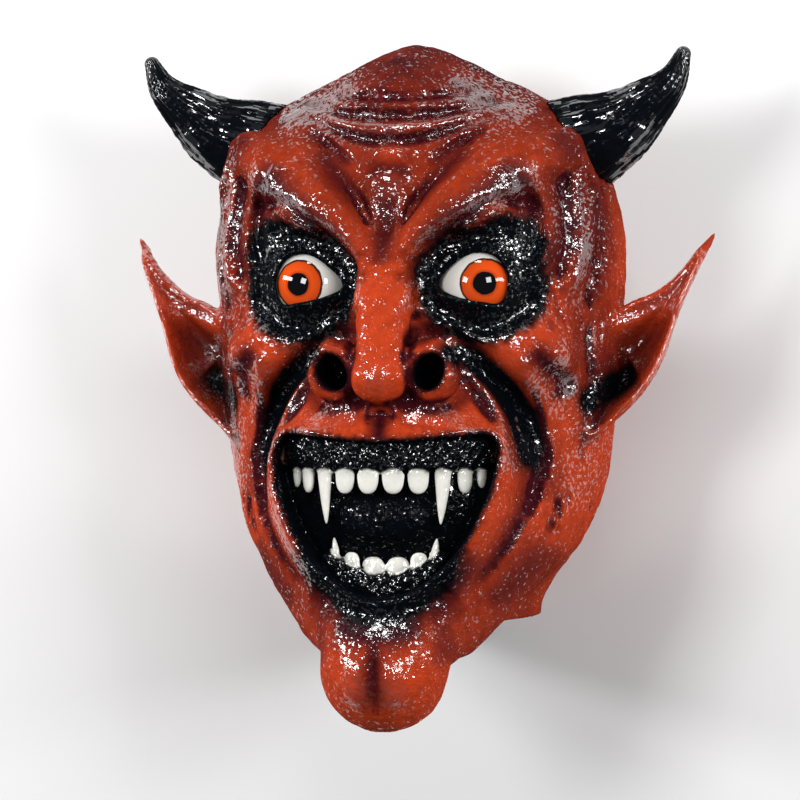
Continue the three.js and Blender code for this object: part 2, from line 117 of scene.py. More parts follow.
# Creases seen from the front: points, half width and depth; a negative depth is a welt
CREASES = (
    (((30, 27), (42, 18), (55, 7), (66, -8), (73, -28), (74, -48), (69, -66)), 8, 4.5),
    (((22, 26), (34, 30), (44, 22), (56, 16)), 4, 2.5),
    (((70, 26), (80, 15), (92, 0)), 6, 3),
    (((64, 4), (78, -10), (86, -34), (82, -58)), 7, -2.5),
    (((0, 74), (2, 96), (0, 120)), 4, 4),
    (((7, 70), (10, 92), (18, 108)), 3, 2),
    (((-6, 84), (-3, 100)), 2.5, 1.5),
    (((6, 72), (20, 84), (34, 104), (46, 120)), 4, -2.5),
    (((12, 82), (26, 100), (40, 118), (56, 136)), 3, -1.6),
    (((8, 86), (20, 106), (34, 127), (48, 143)), 3.6, 3.4),
    (((-14, 112), (0, 119), (14, 112)), 3.5, 2.6),
    (((-10, 124), (0, 129), (12, 123)), 4, -2.2),
    (((-52, 150), (-30, 139), (-12, 134), (10, 133), (30, 139), (52, 150)), 3, 4.6),
    (((-56, 159), (-36, 151), (-14, 147), (14, 147), (36, 151), (56, 159)), 3, 4.2),
    (((-50, 154), (-22, 142), (0, 140), (22, 142), (50, 154)), 3.4, -2.8),
    (((-44, 163), (-18, 158), (6, 157), (22, 159), (44, 164)), 3, 3.6),
    (((-40, 158), (-12, 153), (14, 153), (40, 158)), 3.4, -2.4),
    (((20, 118), (34, 132), (50, 143)), 3.5, 2.5),
    (((10, 104), (24, 124), (42, 138)), 3, 1.8),
    (((66, 114), (74, 98), (76, 82), (71, 66)), 4, 3),
    (((58, 122), (68, 108), (72, 92)), 3, -1.6),
    (((70, 126), (78, 104), (83, 82), (79, 62)), 4, -2.4),
    (((84, 120), (89, 98), (90, 78), (84, 56)), 4, 2.6),
    (((92, 116), (97, 92), (96, 70), (90, 48)), 3.5, -1.6),
    (((99, 120), (104, 92), (102, 66), (96, 40)), 4, 2.4),
    (((13, 62), (26, 78), (42, 91), (58, 100), (76, 98)), 3.4, 4),
    (((18, 60), (30, 74), (46, 82), (62, 80)), 2.5, 2),
    (((22, 68), (34, 80), (52, 88), (68, 84)), 2.5, 1.6),
    (((24, 74), (38, 87), (56, 95)), 2.5, 1.4),
    (((24, 46), (38, 37), (54, 34), (68, 42), (76, 52)), 4, 3),
    (((28, 40), (42, 29), (58, 26), (72, 34)), 3, -1.4),
    (((22, 54), (24, 40), (20, 26)), 4, 3),
    (((14, 66), (19, 56), (17, 44)), 2.6, 1.5),
    (((-13, 71), (0, 67), (13, 72)), 2.6, 1.3),
    (((-15, 61), (0, 57), (15, 61)), 2.6, 1.0),
    (((11, 44), (17, 34), (15, 22)), 2.6, 1.2),
    (((0, -10), (0, -26)), 5, 2.6),
    (((7, -6), (9, -26)), 3, -1.4),
    (((16, -6), (30, -12), (44, -22)), 5, -1.4),
    (((40, 12), (54, -4), (62, -22), (63, -42)), 3.4, -3.4),
    (((63, -30), (62, -54), (51, -80), (34, -104)), 6, -3.4),
    (((72, -40), (70, -62), (58, -86), (42, -106)), 4, 2.4),
    (((80, -46), (76, -68), (62, -92)), 4, -1.4),
    (((86, -6), (88, -36), (82, -66), (66, -94)), 4, 1.8),
    (((-36, -102), (-16, -113), (0, -115), (16, -113), (36, -102)), 10, 5.5),
    (((0, -138), (0, -150), (-1, -168)), 3.5, 3.5),
    (((10, -136), (10, -162)), 6, -1.6),
    (((98, 40), (99, 10), (96, -20), (92, -50)), 4, 2),
)
NOSTRIL_RIM = (8.4, 10.4)
NOSTRIL_FLOOR = 205
CREST_HEIGHT = 3.8
DIP_DEPTH = 4.6
LIP_HEIGHT = 2.6
MOUTH_BACK = 160

# Fillets between the forms, in millimetres
FILLET = {
    "jaw": 40, "neck": 20, "jaw_roll": 24, "muzzle": 18, "chin": 20, "cheek": 24, "brow": 9, "socket": 12,
    "nose": 8, "wing": 5, "ear": 5, "lid": 5, "eye_edge": 2, "mouth_edge": 4, "tongue": 4, "nostril": 4,
}
HOLLOW_FILLET = {"chin": 16, "socket": 14, "mouth": 4}
HOLLOW_CHIN_INSET = 4


def smooth_union(a, b, k):
    """Join two fields with a fillet of about k millimetres."""
    h = np.maximum(k - np.abs(a - b), 0) / k
    return np.minimum(a, b) - h * h * (k * 0.25)


def smooth_cut(a, b, k):
    """Cut field b out of field a with a softened edge."""
    return -smooth_union(-a, b, k)


def egg(x, y, z, centre, radii):
    """Distance to an ellipsoid, true near its surface."""
    u = (x - centre[0]) / radii[0]
    v = (y - centre[1]) / radii[1]
    w = (z - centre[2]) / radii[2]
    ring = np.sqrt(u * u + v * v + w * w)
    steep = np.sqrt((u / radii[0]) ** 2 + (v / radii[1]) ** 2 + (w / radii[2]) ** 2)
    return ring * (ring - 1) / np.maximum(steep, 1e-6)


def roll(x, y, z, points):
    """Distance to a round roll through points (x, y, z, radius)."""
    best = None
    for (ax, ay, az, ar), (bx, by, bz, br) in zip(points, points[1:]):
        dx, dy, dz = bx - ax, by - ay, bz - az
        t = ((x - ax) * dx + (y - ay) * dy + (z - az) * dz) / (dx * dx + dy * dy + dz * dz)
        t = np.clip(t, 0, 1)
        away = np.sqrt((x - ax - t * dx) ** 2 + (y - ay - t * dy) ** 2 + (z - az - t * dz) ** 2)
        away = away - ar - t * (br - ar)
        best = away if best is None else np.minimum(best, away)
    return best


def path_distance(x, y, points):
    """Distance in the front view to a path, and how far along it, from 0 to 1, the nearest place lies."""
    best = np.full(np.shape(x), 1e9)
    share = np.zeros(np.shape(x))
    runs = len(points) - 1
    for k, ((ax, ay), (bx, by)) in enumerate(zip(points, points[1:])):
        dx, dy = bx - ax, by - ay
        t = np.clip(((x - ax) * dx + (y - ay) * dy) / (dx * dx + dy * dy), 0, 1)
        away = np.hypot(x - ax - t * dx, y - ay - t * dy)
        closer = away < best
        best = np.where(closer, away, best)
        share = np.where(closer, (k + t) / runs, share)
    return best, share


def between(a, b, c, d, t):
    """The place a share t of the way from b to c on the Catmull-Rom curve through four points."""
    bend = (2 * a - 5 * b + 4 * c - d) * t * t
    return 0.5 * (2 * b + (c - a) * t + bend + (3 * b - a - 3 * c + d) * t ** 3)


def curve_through(points, count):
    """Smooth curve through points, at even shares of its parameter."""
    p = np.array(points, dtype=float)
    p = np.concatenate([2 * p[:1] - p[1:2], p, 2 * p[-1:] - p[-2:-1]])
    share = np.linspace(0, len(points) - 1 - 1e-9, count)
    k = share.astype(int)
    t = (share - k)[:, None]
    return between(p[k], p[k + 1], p[k + 2], p[k + 3], t)


def stroke(x, y, points, width, taper=6):
    """Strength from 0 to 1 of a brush stroke along a path, fading out at its ends."""
    smooth = curve_through(points, 3 * len(points) - 2)
    away, share = path_distance(x, y, smooth)
    return np.exp(-(away / width) ** 2) * (1 - np.abs(2 * share - 1) ** taper)


def smooth_step(value, low, high):
    """Rise softly from 0 at low to 1 at high; falls where low is the larger."""
    t = np.clip((value - low) / (high - low), 0, 1)
    return t * t * (3 - 2 * t)


def closed_curve(points, steps):
    """Round a closed list of points off with a Catmull-Rom curve."""
    p = np.array(points, dtype=float)
    before, after, later = np.roll(p, 1, 0), np.roll(p, -1, 0), np.roll(p, -2, 0)
    runs = [between(before, p, after, later, t) for t in np.arange(steps) / steps]
    return np.stack(runs, 1).reshape(-1, 2)


def outline_distance(x, y, outline):
    """Signed distance in the front view to a closed outline, negative inside."""
    best = np.full(np.shape(x), 1e9)
    inside = np.zeros(np.shape(x), dtype=bool)
    for (ax, ay), (bx, by) in zip(outline, np.roll(outline, -1, 0)):
        dx, dy = bx - ax, by - ay
        t = np.clip(((x - ax) * dx + (y - ay) * dy) / max(dx * dx + dy * dy, 1e-9), 0, 1)
        best = np.minimum(best, (x - ax - t * dx) ** 2 + (y - ay - t * dy) ** 2)
        if dy:
            crosses = ((ay > y) != (by > y)) & (x < dx * (y - ay) / dy + ax)
            inside ^= crosses
    return np.where(inside, -1, 1) * np.sqrt(best)


def mouth_outline():
    """The mouth's edge, mirrored and rounded off."""
    right = [(u * MOUTH_SIZE[0], MOUTH_TOP + v * MOUTH_SIZE[1]) for u, v in MOUTH_EDGE]
    left = [(-x, y) for x, y in right[:0:-1]]
    return closed_curve(right + left, 3)


MOUTH_OUTLINE = mouth_outline()
EYE_OUTLINE = closed_curve(EYE_EDGE, 3)
EAR_OUTLINE = closed_curve(EAR_EDGE, 3)


def near(x, y, points, margin):
    """Which points of the field lie close enough to a path in the front view to feel it."""
    p = np.array(points)
    return ((x > p[:, 0].min() - margin) & (x < p[:, 0].max() + margin)
            & (y > p[:, 1].min() - margin) & (y < p[:, 1].max() + margin))


def add_creases(form, x, y, z):
    """Press the listed creases into the front of a form."""
    front = smooth_step(z, 95, 140)
    for points, width, depth in CREASES:
        felt = near(x, y, points, 2.6 * width)
        form[felt] += depth * stroke(x[felt], y[felt], points, width) * front[felt]
    return form


def wobble(points, size, seed):
    """A cheap smooth noise from a few waves, about -1 to 1, the same every run."""
    generator = np.random.default_rng(seed)
    total = np.zeros(len(points))
    for _ in range(9):
        direction = generator.normal(size=3)
        direction *= 2 * math.pi / size / np.linalg.norm(direction) * generator.uniform(0.6, 1.7)
        total += np.sin(points @ direction + generator.uniform(0, 2 * math.pi))
    return total / 4.5


def groove(phase):
    """Narrow grooves, one to each whole number of the phase."""
    return np.exp(-(np.sin(math.pi * phase) / 0.42) ** 2)


def fine_folds(x, y, z):
    """Folds too many to list, on the crown, the temples and the neck, with lumps; and where they lie."""
    points = np.stack([x, y, z], 1)
    lumps = wobble(points, 17, 41)
    small = wobble(points, 7, 43)
    crown = smooth_step(y, 128, 150) * smooth_step(z, 50, 110)
    slope = (y - 142) / 130
    across = (y + slope * np.sqrt(x * x + 60)) / 12.5 + 0.3 * lumps
    temple = smooth_step(x, 80, 98) * smooth_step(y, 8, 40)
    temple = temple * smooth_step(y, 138, 118) * smooth_step(z, 40, 75)
    down = (z + 7 * np.sin(y / 19)) / 9 + 0.3 * lumps
    neck = smooth_step(y, -20, -60) * smooth_step(y, -124, -106) * smooth_step(x, 52, 78)
    neck = neck * smooth_step(z, 20, 60) * smooth_step(z, 190, 165)
    slant = (z - 0.35 * y + 5 * np.sin(y / 16)) / 11 + 0.35 * lumps
    cover = np.maximum(np.maximum(crown, temple), neck)
    cuts = 1.3 * crown * groove(across) + 1.2 * temple * groove(down) + 0.9 * neck * groove(slant)
    return cuts * (0.9 + 0.3 * small) + 0.4 * lumps + 0.14 * small, cover


def ear_form(x, y, z):
    """A cupped leaf: a sheet that follows a bowl inside the ear's outline."""
    edge = outline_distance(x, y, EAR_OUTLINE)
    share = (y - EAR_BASE[0]) * EAR_LEAN
    inset = np.clip(-edge, 0, 30)
    bowl = EAR_CUP * (1 - np.exp(-(inset / 11) ** 2))
    helix = 3.4 * np.exp(-((inset - 2) / 2.4) ** 2)
    fold = 12 * stroke(x, y, EAR_ROLL, 6.5, 8) + 8 * stroke(x, y, EAR_FOLD, 4, 4)
    concha = 10 * stroke(x, y, EAR_HOLE, 9)
    sheet = EAR_BASE[1] - share - bowl + helix + fold - concha - 0.12 * (x - 90)
    slope = 1.5
    across = np.abs(z - sheet) / slope - EAR_SHEET
    rim = 2.0
    a = edge + rim
    b = across + rim
    return np.minimum(np.maximum(a, b), 0) + np.hypot(np.maximum(a, 0), np.maximum(b, 0)) - rim


def skull_form(x, y, z):
    """Dome, jaw and neck, which the outer head and the hollow start from."""
    form = egg(x, y, z, *DOME)
    form = smooth_union(form, egg(x, y, z, *JAW), FILLET["jaw"])
    return smooth_union(form, roll(x * NECK_NARROW, y, z, NECK_ROLL), FILLET["neck"])


def head_form(x, y, z):
    """The whole outer head without its openings; x is the distance from the middle plane."""
    form = skull_form(x, y, z)
    form = smooth_union(form, roll(x, y, z, JAW_ROLL), FILLET["jaw_roll"])
    form = smooth_union(form, egg(x, y, z, *MUZZLE), FILLET["muzzle"])
    form = smooth_union(form, roll(x, y, z, CHIN_ROLL), FILLET["chin"])
    form = smooth_union(form, egg(x, y, z, *CHEEK), FILLET["cheek"])
    form = smooth_union(form, roll(x, y, z, BROW_ROLL), FILLET["brow"])
    form = smooth_cut(form, egg(x, y, z, *SOCKET), FILLET["socket"])
    form = smooth_union(form, roll(x, y, z, NOSE_ROLL), FILLET["nose"])
    form = smooth_union(form, egg(x, y, z, *NOSE_WING), FILLET["wing"])
    crest = np.exp(-(x / 17) ** 2) * smooth_step(y, 128, 172) * smooth_step(z, 30, 80)
    dip = np.exp(-((x - 48) / 24) ** 2) * smooth_step(y, 136, 164) * smooth_step(z, 30, 80)
    form = form - CREST_HEIGHT * crest + DIP_DEPTH * dip
    return add_creases(form, x, y, z)


def nostril_turn(x, y):
    """Place beside the nostril, turned so that the hole stands upright."""
    u, v = x - NOSTRIL[0][0], y - NOSTRIL[0][1]
    across, up = math.cos(NOSTRIL_TILT), math.sin(NOSTRIL_TILT)
    return u * across - v * up, u * up + v * across


def nostril_rim(x, y, z):
    """The wing's rim round the outer side of a nostril, with a groove behind it."""
    u, v = nostril_turn(x, y)
    ring = np.hypot(u / NOSTRIL_RIM[0], v / NOSTRIL_RIM[1])
    outer = smooth_step(x + 0.7 * y, 22, 38)
    rim = 1.3 * (0.25 + outer) * np.exp(-((ring - 1.4) / 0.34) ** 2)
    rim = rim - 0.7 * outer * np.exp(-((ring - 2.2) / 0.35) ** 2)
    return rim * smooth_step(z, NOSTRIL_FLOOR, 218)


def hollow_form(x, y, z):
    """The plain hollow inside: the large forms only, a wall's thickness smaller."""
    form = smooth_union(skull_form(x, y, z), egg(x, y, z, *MUZZLE), FILLET["muzzle"])
    form = smooth_union(form, roll(x, y, z, CHIN_ROLL) + HOLLOW_CHIN_INSET, HOLLOW_FILLET["chin"])
    form = smooth_cut(form, egg(x, y, z, *SOCKET), HOLLOW_FILLET["socket"])
    return form + WALL


def skin_field(raw_x, y, z):
    """The latex skin as one field: head, ears and lids, less the hollow and the openings."""
    x = np.abs(raw_x)
    head = head_form(x, y, z)
    inner = 0.8 * head + WALL
    close = np.abs(head) < 9
    folds, cover = fine_folds(x[close], y[close], z[close])
    head[close] += folds
    inner[close] += 2.1 * cover
    by_nose = (x > 8) & (x < 48) & (np.abs(y - NOSTRIL[0][1]) < 26) & (z > NOSTRIL_FLOOR)
    head[by_nose] -= nostril_rim(x[by_nose], y[by_nose], z[by_nose])
    form = head.copy()

    by_ear = (x > 82) & (x < 172) & (y > -32) & (y < 98)
    ears = ear_form(x[by_ear], y[by_ear], z[by_ear])
    form[by_ear] = smooth_union(form[by_ear], ears, FILLET["ear"])

    by_eye = (np.abs(x - EYE[0]) < 40) & (np.abs(y - EYE[1]) < 40) & (z > 150)
    ex, ey, ez = x[by_eye], y[by_eye], z[by_eye]
    ball = np.sqrt((ex - EYE[0]) ** 2 + (ey - EYE[1]) ** 2 + (ez - EYE[2]) ** 2)
    edge = outline_distance(ex, ey, EYE_OUTLINE)
    lid = ball - LID_RADIUS + 0.8 * np.exp(-((edge - 6) / 1.6) ** 2)
    lids = smooth_union(form[by_eye], lid, FILLET["lid"])
    opening = np.maximum(edge, EYE[2] - ez)
    lids = smooth_cut(lids, opening, FILLET["eye_edge"])
    form[by_eye] = np.maximum(lids, EYE_RADIUS + GAP - ball)

    mouth = outline_distance(raw_x, y, MOUTH_OUTLINE)
    lips = LIP_HEIGHT * np.exp(-((mouth - 3) / 4) ** 2) * smooth_step(z, 150, 190)
    form = form - lips
    centre, radii = MUZZLE
    floor = egg(x, y, z, centre, (radii[0], radii[1], radii[2] - MOUTH_DEPTH))
    pit = np.maximum(np.maximum(mouth, -floor), centre[2] - z)
    form = smooth_cut(form, pit, FILLET["mouth_edge"])
    tongue = egg(x, y, z, *TONGUE)
    by_tongue = tongue < 9
    tx, ty, tz = raw_x[by_tongue], y[by_tongue], z[by_tongue]
    tongue[by_tongue] += 0.9 * wobble(np.stack([tx, ty, tz], 1), 6, 47) + 2 * np.exp(-(tx / 3) ** 2)
    form = smooth_union(form, tongue, FILLET["tongue"])

    behind_mouth = np.maximum(mouth - 6, -floor - WALL)
    hollow = np.maximum(np.maximum(hollow_form(x, y, z), inner), head + WALL)
    hollow = np.maximum(hollow, FLAT_BACK + WALL - z)
    hollow = smooth_cut(hollow, np.maximum(behind_mouth, MOUTH_BACK - z), HOLLOW_FILLET["mouth"])
    form = np.maximum(form, -hollow)

    u, v = nostril_turn(x, y)
    form = smooth_cut(form, egg(u, v, z, (0, 0, NOSTRIL[0][2]), NOSTRIL[1]), FILLET["nostril"])
    neck = np.maximum(y - NECK_CUT[0], z - NECK_CUT[1])
    form = np.maximum(form, -neck)
    return np.maximum(form, FLAT_BACK - z)


BLOCK = 6
BLOCKS_AT_ONCE = 1500


def surface_net(field, low, high, step, reach):
    """Mesh the zero set of a field in a box; blocks whose middle is over reach away are skipped."""
    block = BLOCK
    low = np.array(low, dtype=float)
    blocks = np.ceil((np.array(high) - low) / (step * block)).astype(int)
    middles = np.stack(np.meshgrid(*[np.arange(n) for n in blocks], indexing="ij"), -1).reshape(-1, 3)
    places = low + (middles * block + (block - 1) / 2) * step
    at_middle = field(*places.T)
    values = np.repeat(np.repeat(np.repeat(at_middle.reshape(blocks), block, 0), block, 1), block, 2)
    cell = np.stack(np.meshgrid(*[np.arange(block)] * 3, indexing="ij"), -1).reshape(-1, 3)
    active = middles[np.abs(at_middle) < reach]
    for part in np.array_split(active, max(1, len(active) // BLOCKS_AT_ONCE)):
        index = (part[:, None, :] * block + cell[None, :, :]).reshape(-1, 3)
        values[tuple(index.T)] = field(*(low + index * step).T)
    return net_of_values(values, low, step)


def net_of_values(values, low, step):
    """Surface net of a grid of values: one vertex in each cell that the surface crosses, one face an edge."""
    shape = values.shape
    cells, crossings, quads = [], [], []
    inside = values < 0
    for axis in range(3):
        side_a, side_b = (axis + 1) % 3, (axis + 2) % 3
        lower = [slice(1, None)] * 3
        upper = [slice(1, None)] * 3
        lower[axis], upper[axis] = slice(0, -1), slice(1, None)
        changed = np.argwhere(inside[tuple(lower)] != inside[tuple(upper)])
        start = changed + np.array([0 if a == axis else 1 for a in range(3)])
        end = start.copy()
        end[:, axis] += 1
        first, second = values[tuple(start.T)], values[tuple(end.T)]
        crossing = start.astype(float)
        crossing[:, axis] += first / (first - second)
        step_a, step_b = np.eye(3, dtype=int)[side_a], np.eye(3, dtype=int)[side_b]
        ring = [np.ravel_multi_index(tuple((start - shift).T), shape)
                for shift in (0 * step_a, step_a, step_a + step_b, step_b)]
        quad = np.stack(ring, 1)
        quad[first > 0] = quad[first > 0][:, ::-1]
        quads.append(quad)
        cells.append(np.concatenate(ring))
        crossings.append(np.tile(crossing, (4, 1)))
    cells, crossings, quads = np.concatenate(cells), np.concatenate(crossings), np.concatenate(quads)
    used, slot = np.unique(cells, return_inverse=True)
    count = np.bincount(slot)
    points = np.stack([np.bincount(slot, crossings[:, a]) / count for a in range(3)], 1)
    return low + points * step, np.searchsorted(used, quads)


def gradient(field, points, reach=0.4):
    """Slope of a field at some points, by central differences."""
    columns = []
    for axis in range(3):
        shift = np.zeros(3)
        shift[axis] = reach
        columns.append((field(*(points + shift).T) - field(*(points - shift).T)) / (2 * reach))
    return np.stack(columns, 1)


def settle(field, points, furthest, rounds=2):
    """Move points onto the zero set of a field, a short way at most."""
    for _ in range(rounds):
        slope = gradient(field, points)
        steep = np.maximum((slope ** 2).sum(1), 0.15)
        move = -(field(*points.T) / steep)[:, None] * slope
        length = np.linalg.norm(move, axis=1, keepdims=True)
        points = points + move * np.minimum(1, furthest / np.maximum(length, 1e-9))
    return points


def mesh_field(field, low, high, cell, margin):
    cell = cell / MM * 1
    points, faces = surface_net(field, low, high, cell, BLOCK * cell + margin)
    return settle(field, points, 0.5 * cell), faces


def pattern_origin():
    """Where the pattern's origin lies in the frame, in millimetres, from the place of an eye dome."""
    low, high = (np.array(corner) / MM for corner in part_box("eye_right"))
    middle = (low + high) / 2
    return np.array([middle[0] - EYE[0], middle[1] - EYE[1], high[2] - EYE[2] - EYE_RADIUS])


PATTERN_ORIGIN = pattern_origin()


def to_frame(points):
    """Pattern points in millimetres as frame points in metres."""
    return (points + PATTERN_ORIGIN) * MM


def smooth_all(mesh):
    mesh.polygons.foreach_set("use_smooth", np.ones(len(mesh.polygons), dtype=bool))


def new_piece(name, points, faces, material):
    """Make a smooth mesh object in the frame from pattern points in millimetres."""
    mesh = bpy.data.meshes.new(name)
    mesh.from_pydata(to_frame(points).tolist(), [], faces.tolist())
    mesh.validate()
    smooth_all(mesh)
    mesh.materials.append(material)
    piece = bpy.data.objects.new(name, mesh)
    bpy.context.scene.collection.objects.link(piece)
    return piece


def apply_modifiers(piece):
    """Bake a piece's modifiers into its mesh."""
    depsgraph = bpy.context.evaluated_depsgraph_get()
    baked = bpy.data.meshes.new_from_object(piece.evaluated_get(depsgraph))
    old = piece.data
    piece.modifiers.clear()
    piece.data = baked
    bpy.data.meshes.remove(old)
    baked.name = piece.name


# How readily vertices are dropped: in front and along the neck's edge, on the back, and on the lining
THIN_FRONT, THIN_BACK, THIN_LINING = 0.15, 0.6, 1.0
THINNING_FACTOR = 10
BACK_TOP = 70


def thin_out(piece, share, plain):
    """Drop vertices, first those of the plain stretches, given as a weight a vertex."""
    group = piece.vertex_groups.new(name="plain")
    for level in (THIN_FRONT, THIN_BACK, THIN_LINING):
        chosen = np.flatnonzero(np.abs(plain - level) < 1e-6)
        group.add(chosen.tolist(), level, "REPLACE")
    decimate = piece.modifiers.new("thin_out", "DECIMATE")
    decimate.ratio = share
    decimate.vertex_group = group.name
    decimate.vertex_group_factor = THINNING_FACTOR
    apply_modifiers(piece)
    smooth_all(piece.data)


def piece_points(piece):
    """A piece's vertices back on the pattern, in millimetres."""
    points = np.empty(len(piece.data.vertices) * 3)
    piece.data.vertices.foreach_get("co", points)
    return points.reshape(-1, 3) / MM - PATTERN_ORIGIN


def piece_normals(piece):
    normals = np.empty(len(piece.data.vertices) * 3)
    piece.data.vertices.foreach_get("normal", normals)
    return normals.reshape(-1, 3)


def set_values(mesh, name, kind, slot, values):
    """Store a number or a vector a vertex."""
    layer = mesh.attributes.new(name, kind, "POINT")
    layer.data.foreach_set(slot, values.astype(np.float32).ravel())


def set_colours(piece, name, colours, shine):
    """Store one colour a vertex, with its share of gloss as the alpha."""
    layer = piece.data.color_attributes.new(name, "FLOAT_COLOR", "POINT")
    alpha = np.broadcast_to(shine, len(colours))[:, None]
    rgba = np.concatenate([np.clip(colours, 0, 1), np.maximum(alpha, 0)], 1)
    layer.data.foreach_set("color", rgba.ravel().astype(np.float32))


def mix(colours, other, share):
    """Blend some colours towards another, by a share for each."""
    share = np.clip(share, 0, 1)[:, None]
    return colours * (1 - share) + np.array(other) * share


# Maroon strokes seen from the front: points, half width and strength
# The maroon is partly airbrush and partly painted shade, in the creases it follows and under the lower lip
MAROON_STROKES = (
    (((0, 64), (0, 84), (2, 108)), 8, 0.8),
    (((10, 96), (26, 112), (42, 132)), 7, 0.75),
    (((-52, 150), (-30, 139), (-12, 134), (10, 133), (30, 139), (52, 150)), 5, 0.85),
    (((-56, 159), (-36, 151), (-14, 147), (14, 147), (36, 151), (56, 159)), 4.5, 0.75),
    (((-44, 163), (-18, 158), (6, 157), (22, 159), (44, 164)), 6, 0.7),
    (((20, 118), (34, 132), (50, 143)), 6, 0.8),
    (((-14, 112), (0, 119), (14, 112)), 5, 0.8),
    (((58, 122), (70, 102), (78, 84)), 10, 0.8),
    (((85, 122), (89, 98), (89, 78), (82, 56)), 8, 0.85),
    (((101, 128), (105, 90), (103, 60), (97, 40)), 8, 0.75),
    (((84, 142), (98, 124)), 10, 0.7),
    (((22, 54), (24, 38), (20, 22)), 6, 0.85),
    (((36, 26), (42, 10), (40, -8)), 5, 0.7),
    (((0, -26), (0, -8)), 6, 0.9),
    (((74, 24), (84, 12), (94, -4)), 8, 0.9),
    (((50, -82), (36, -104), (26, -124)), 10, 0.8),
    (((-36, -100), (0, -112), (36, -100)), 16, 0.95),
    (((-28, -119), (0, -124), (28, -119)), 12, 0.95),
    (((66, -10), (78, -34), (80, -60)), 9, 0.55),
    (((0, -112), (0, -132), (0, -168)), 7, 0.85),
    (((36, -146), (32, -124), (44, -108)), 7, 0.6),
    (((50, -116), (66, -100), (82, -80)), 12, 0.7),
    (((72, -40), (70, -62), (58, -86), (42, -106)), 5, 0.8),
    (((96, 34), (101, 0), (98, -30)), 7, 0.6),
)
# Black strokes: the fold beside the nose, and the groove under the lower lip, where the black is partly
# painted shadow
BLACK_STROKES = (
    (((28, 24), (42, 18), (55, 7), (65, -8), (71, -26), (72, -48)), 6, 1.0),
    (((-30, -102), (0, -111), (30, -102)), 10, 0.95),
)
# Black round the eyes: centres and radii of ovals
EYE_PATCHES = (((49, 56), (35, 33)), ((28, 62), (18, 14)), ((64, 76), (20, 19)))
# Where the gloss gathers: points, half width and strength
SHINE_STROKES = (
    (((14, 66), (34, 84), (60, 108), (80, 118)), 10, 1.0),
    (((0, 84), (0, 118)), 12, 0.9),
    (((-60, 158), (-20, 142), (20, 142), (60, 158)), 13, 0.9),
    (((20, 168), (72, 148)), 13, 0.9),
    (((22, 72), (40, 82), (60, 80), (75, 66)), 4, 0.9),
    (((26, 44), (44, 36), (62, 42)), 3.5, 0.8),
    (((88, 120), (96, 80), (95, 40)), 8, 0.75),
    (((24, 34), (44, 24), (66, 34), (80, 50)), 8, 1.0),
    (((-7, 7), (7, 7)), 7, 1.0),
    (((16, 60), (17, 40)), 6, 0.9),
    (((10, -12), (34, -16), (52, -22)), 7, 1.0),
    (((36, 14), (54, -4), (62, -24), (63, -44)), 5, 1.0),
    (((62, 18), (76, 4), (84, -16)), 7, 0.6),
    (((12, -134), (10, -166)), 7, 1.0),
    (((-24, -122), (24, -122)), 9, 1.0),
    (((100, 20), (99, -30), (88, -66)), 8, 0.5),
    (EAR_ROLL, 8, 1.2),
    (EAR_FOLD, 5, 0.9),
)
# The fold beside the mouth that shines on the left side only
LEFT_FOLD = ((63, -40), (59, -60), (50, -80), (36, -104))
# Where the brow overhangs the eye: the maroon there is partly painted shade
UNDER_BROW = ((16, 72), (34, 88), (58, 106), (76, 112))
# How far out the cavity measures for the painted shade in the hollows look, in millimetres
CAVITY_NEAR = 6
CAVITY_WIDE = 14


def stroke_cover(x, y, strokes, taper=6):
    """Strongest of some strokes; x is the distance from the middle plane."""
    cover = np.zeros(len(x))
    for points, width, strength in strokes:
        felt = near(x, y, points, 2.6 * width)
        cover[felt] = np.maximum(cover[felt], strength * stroke(x[felt], y[felt], points, width, taper))
    return cover


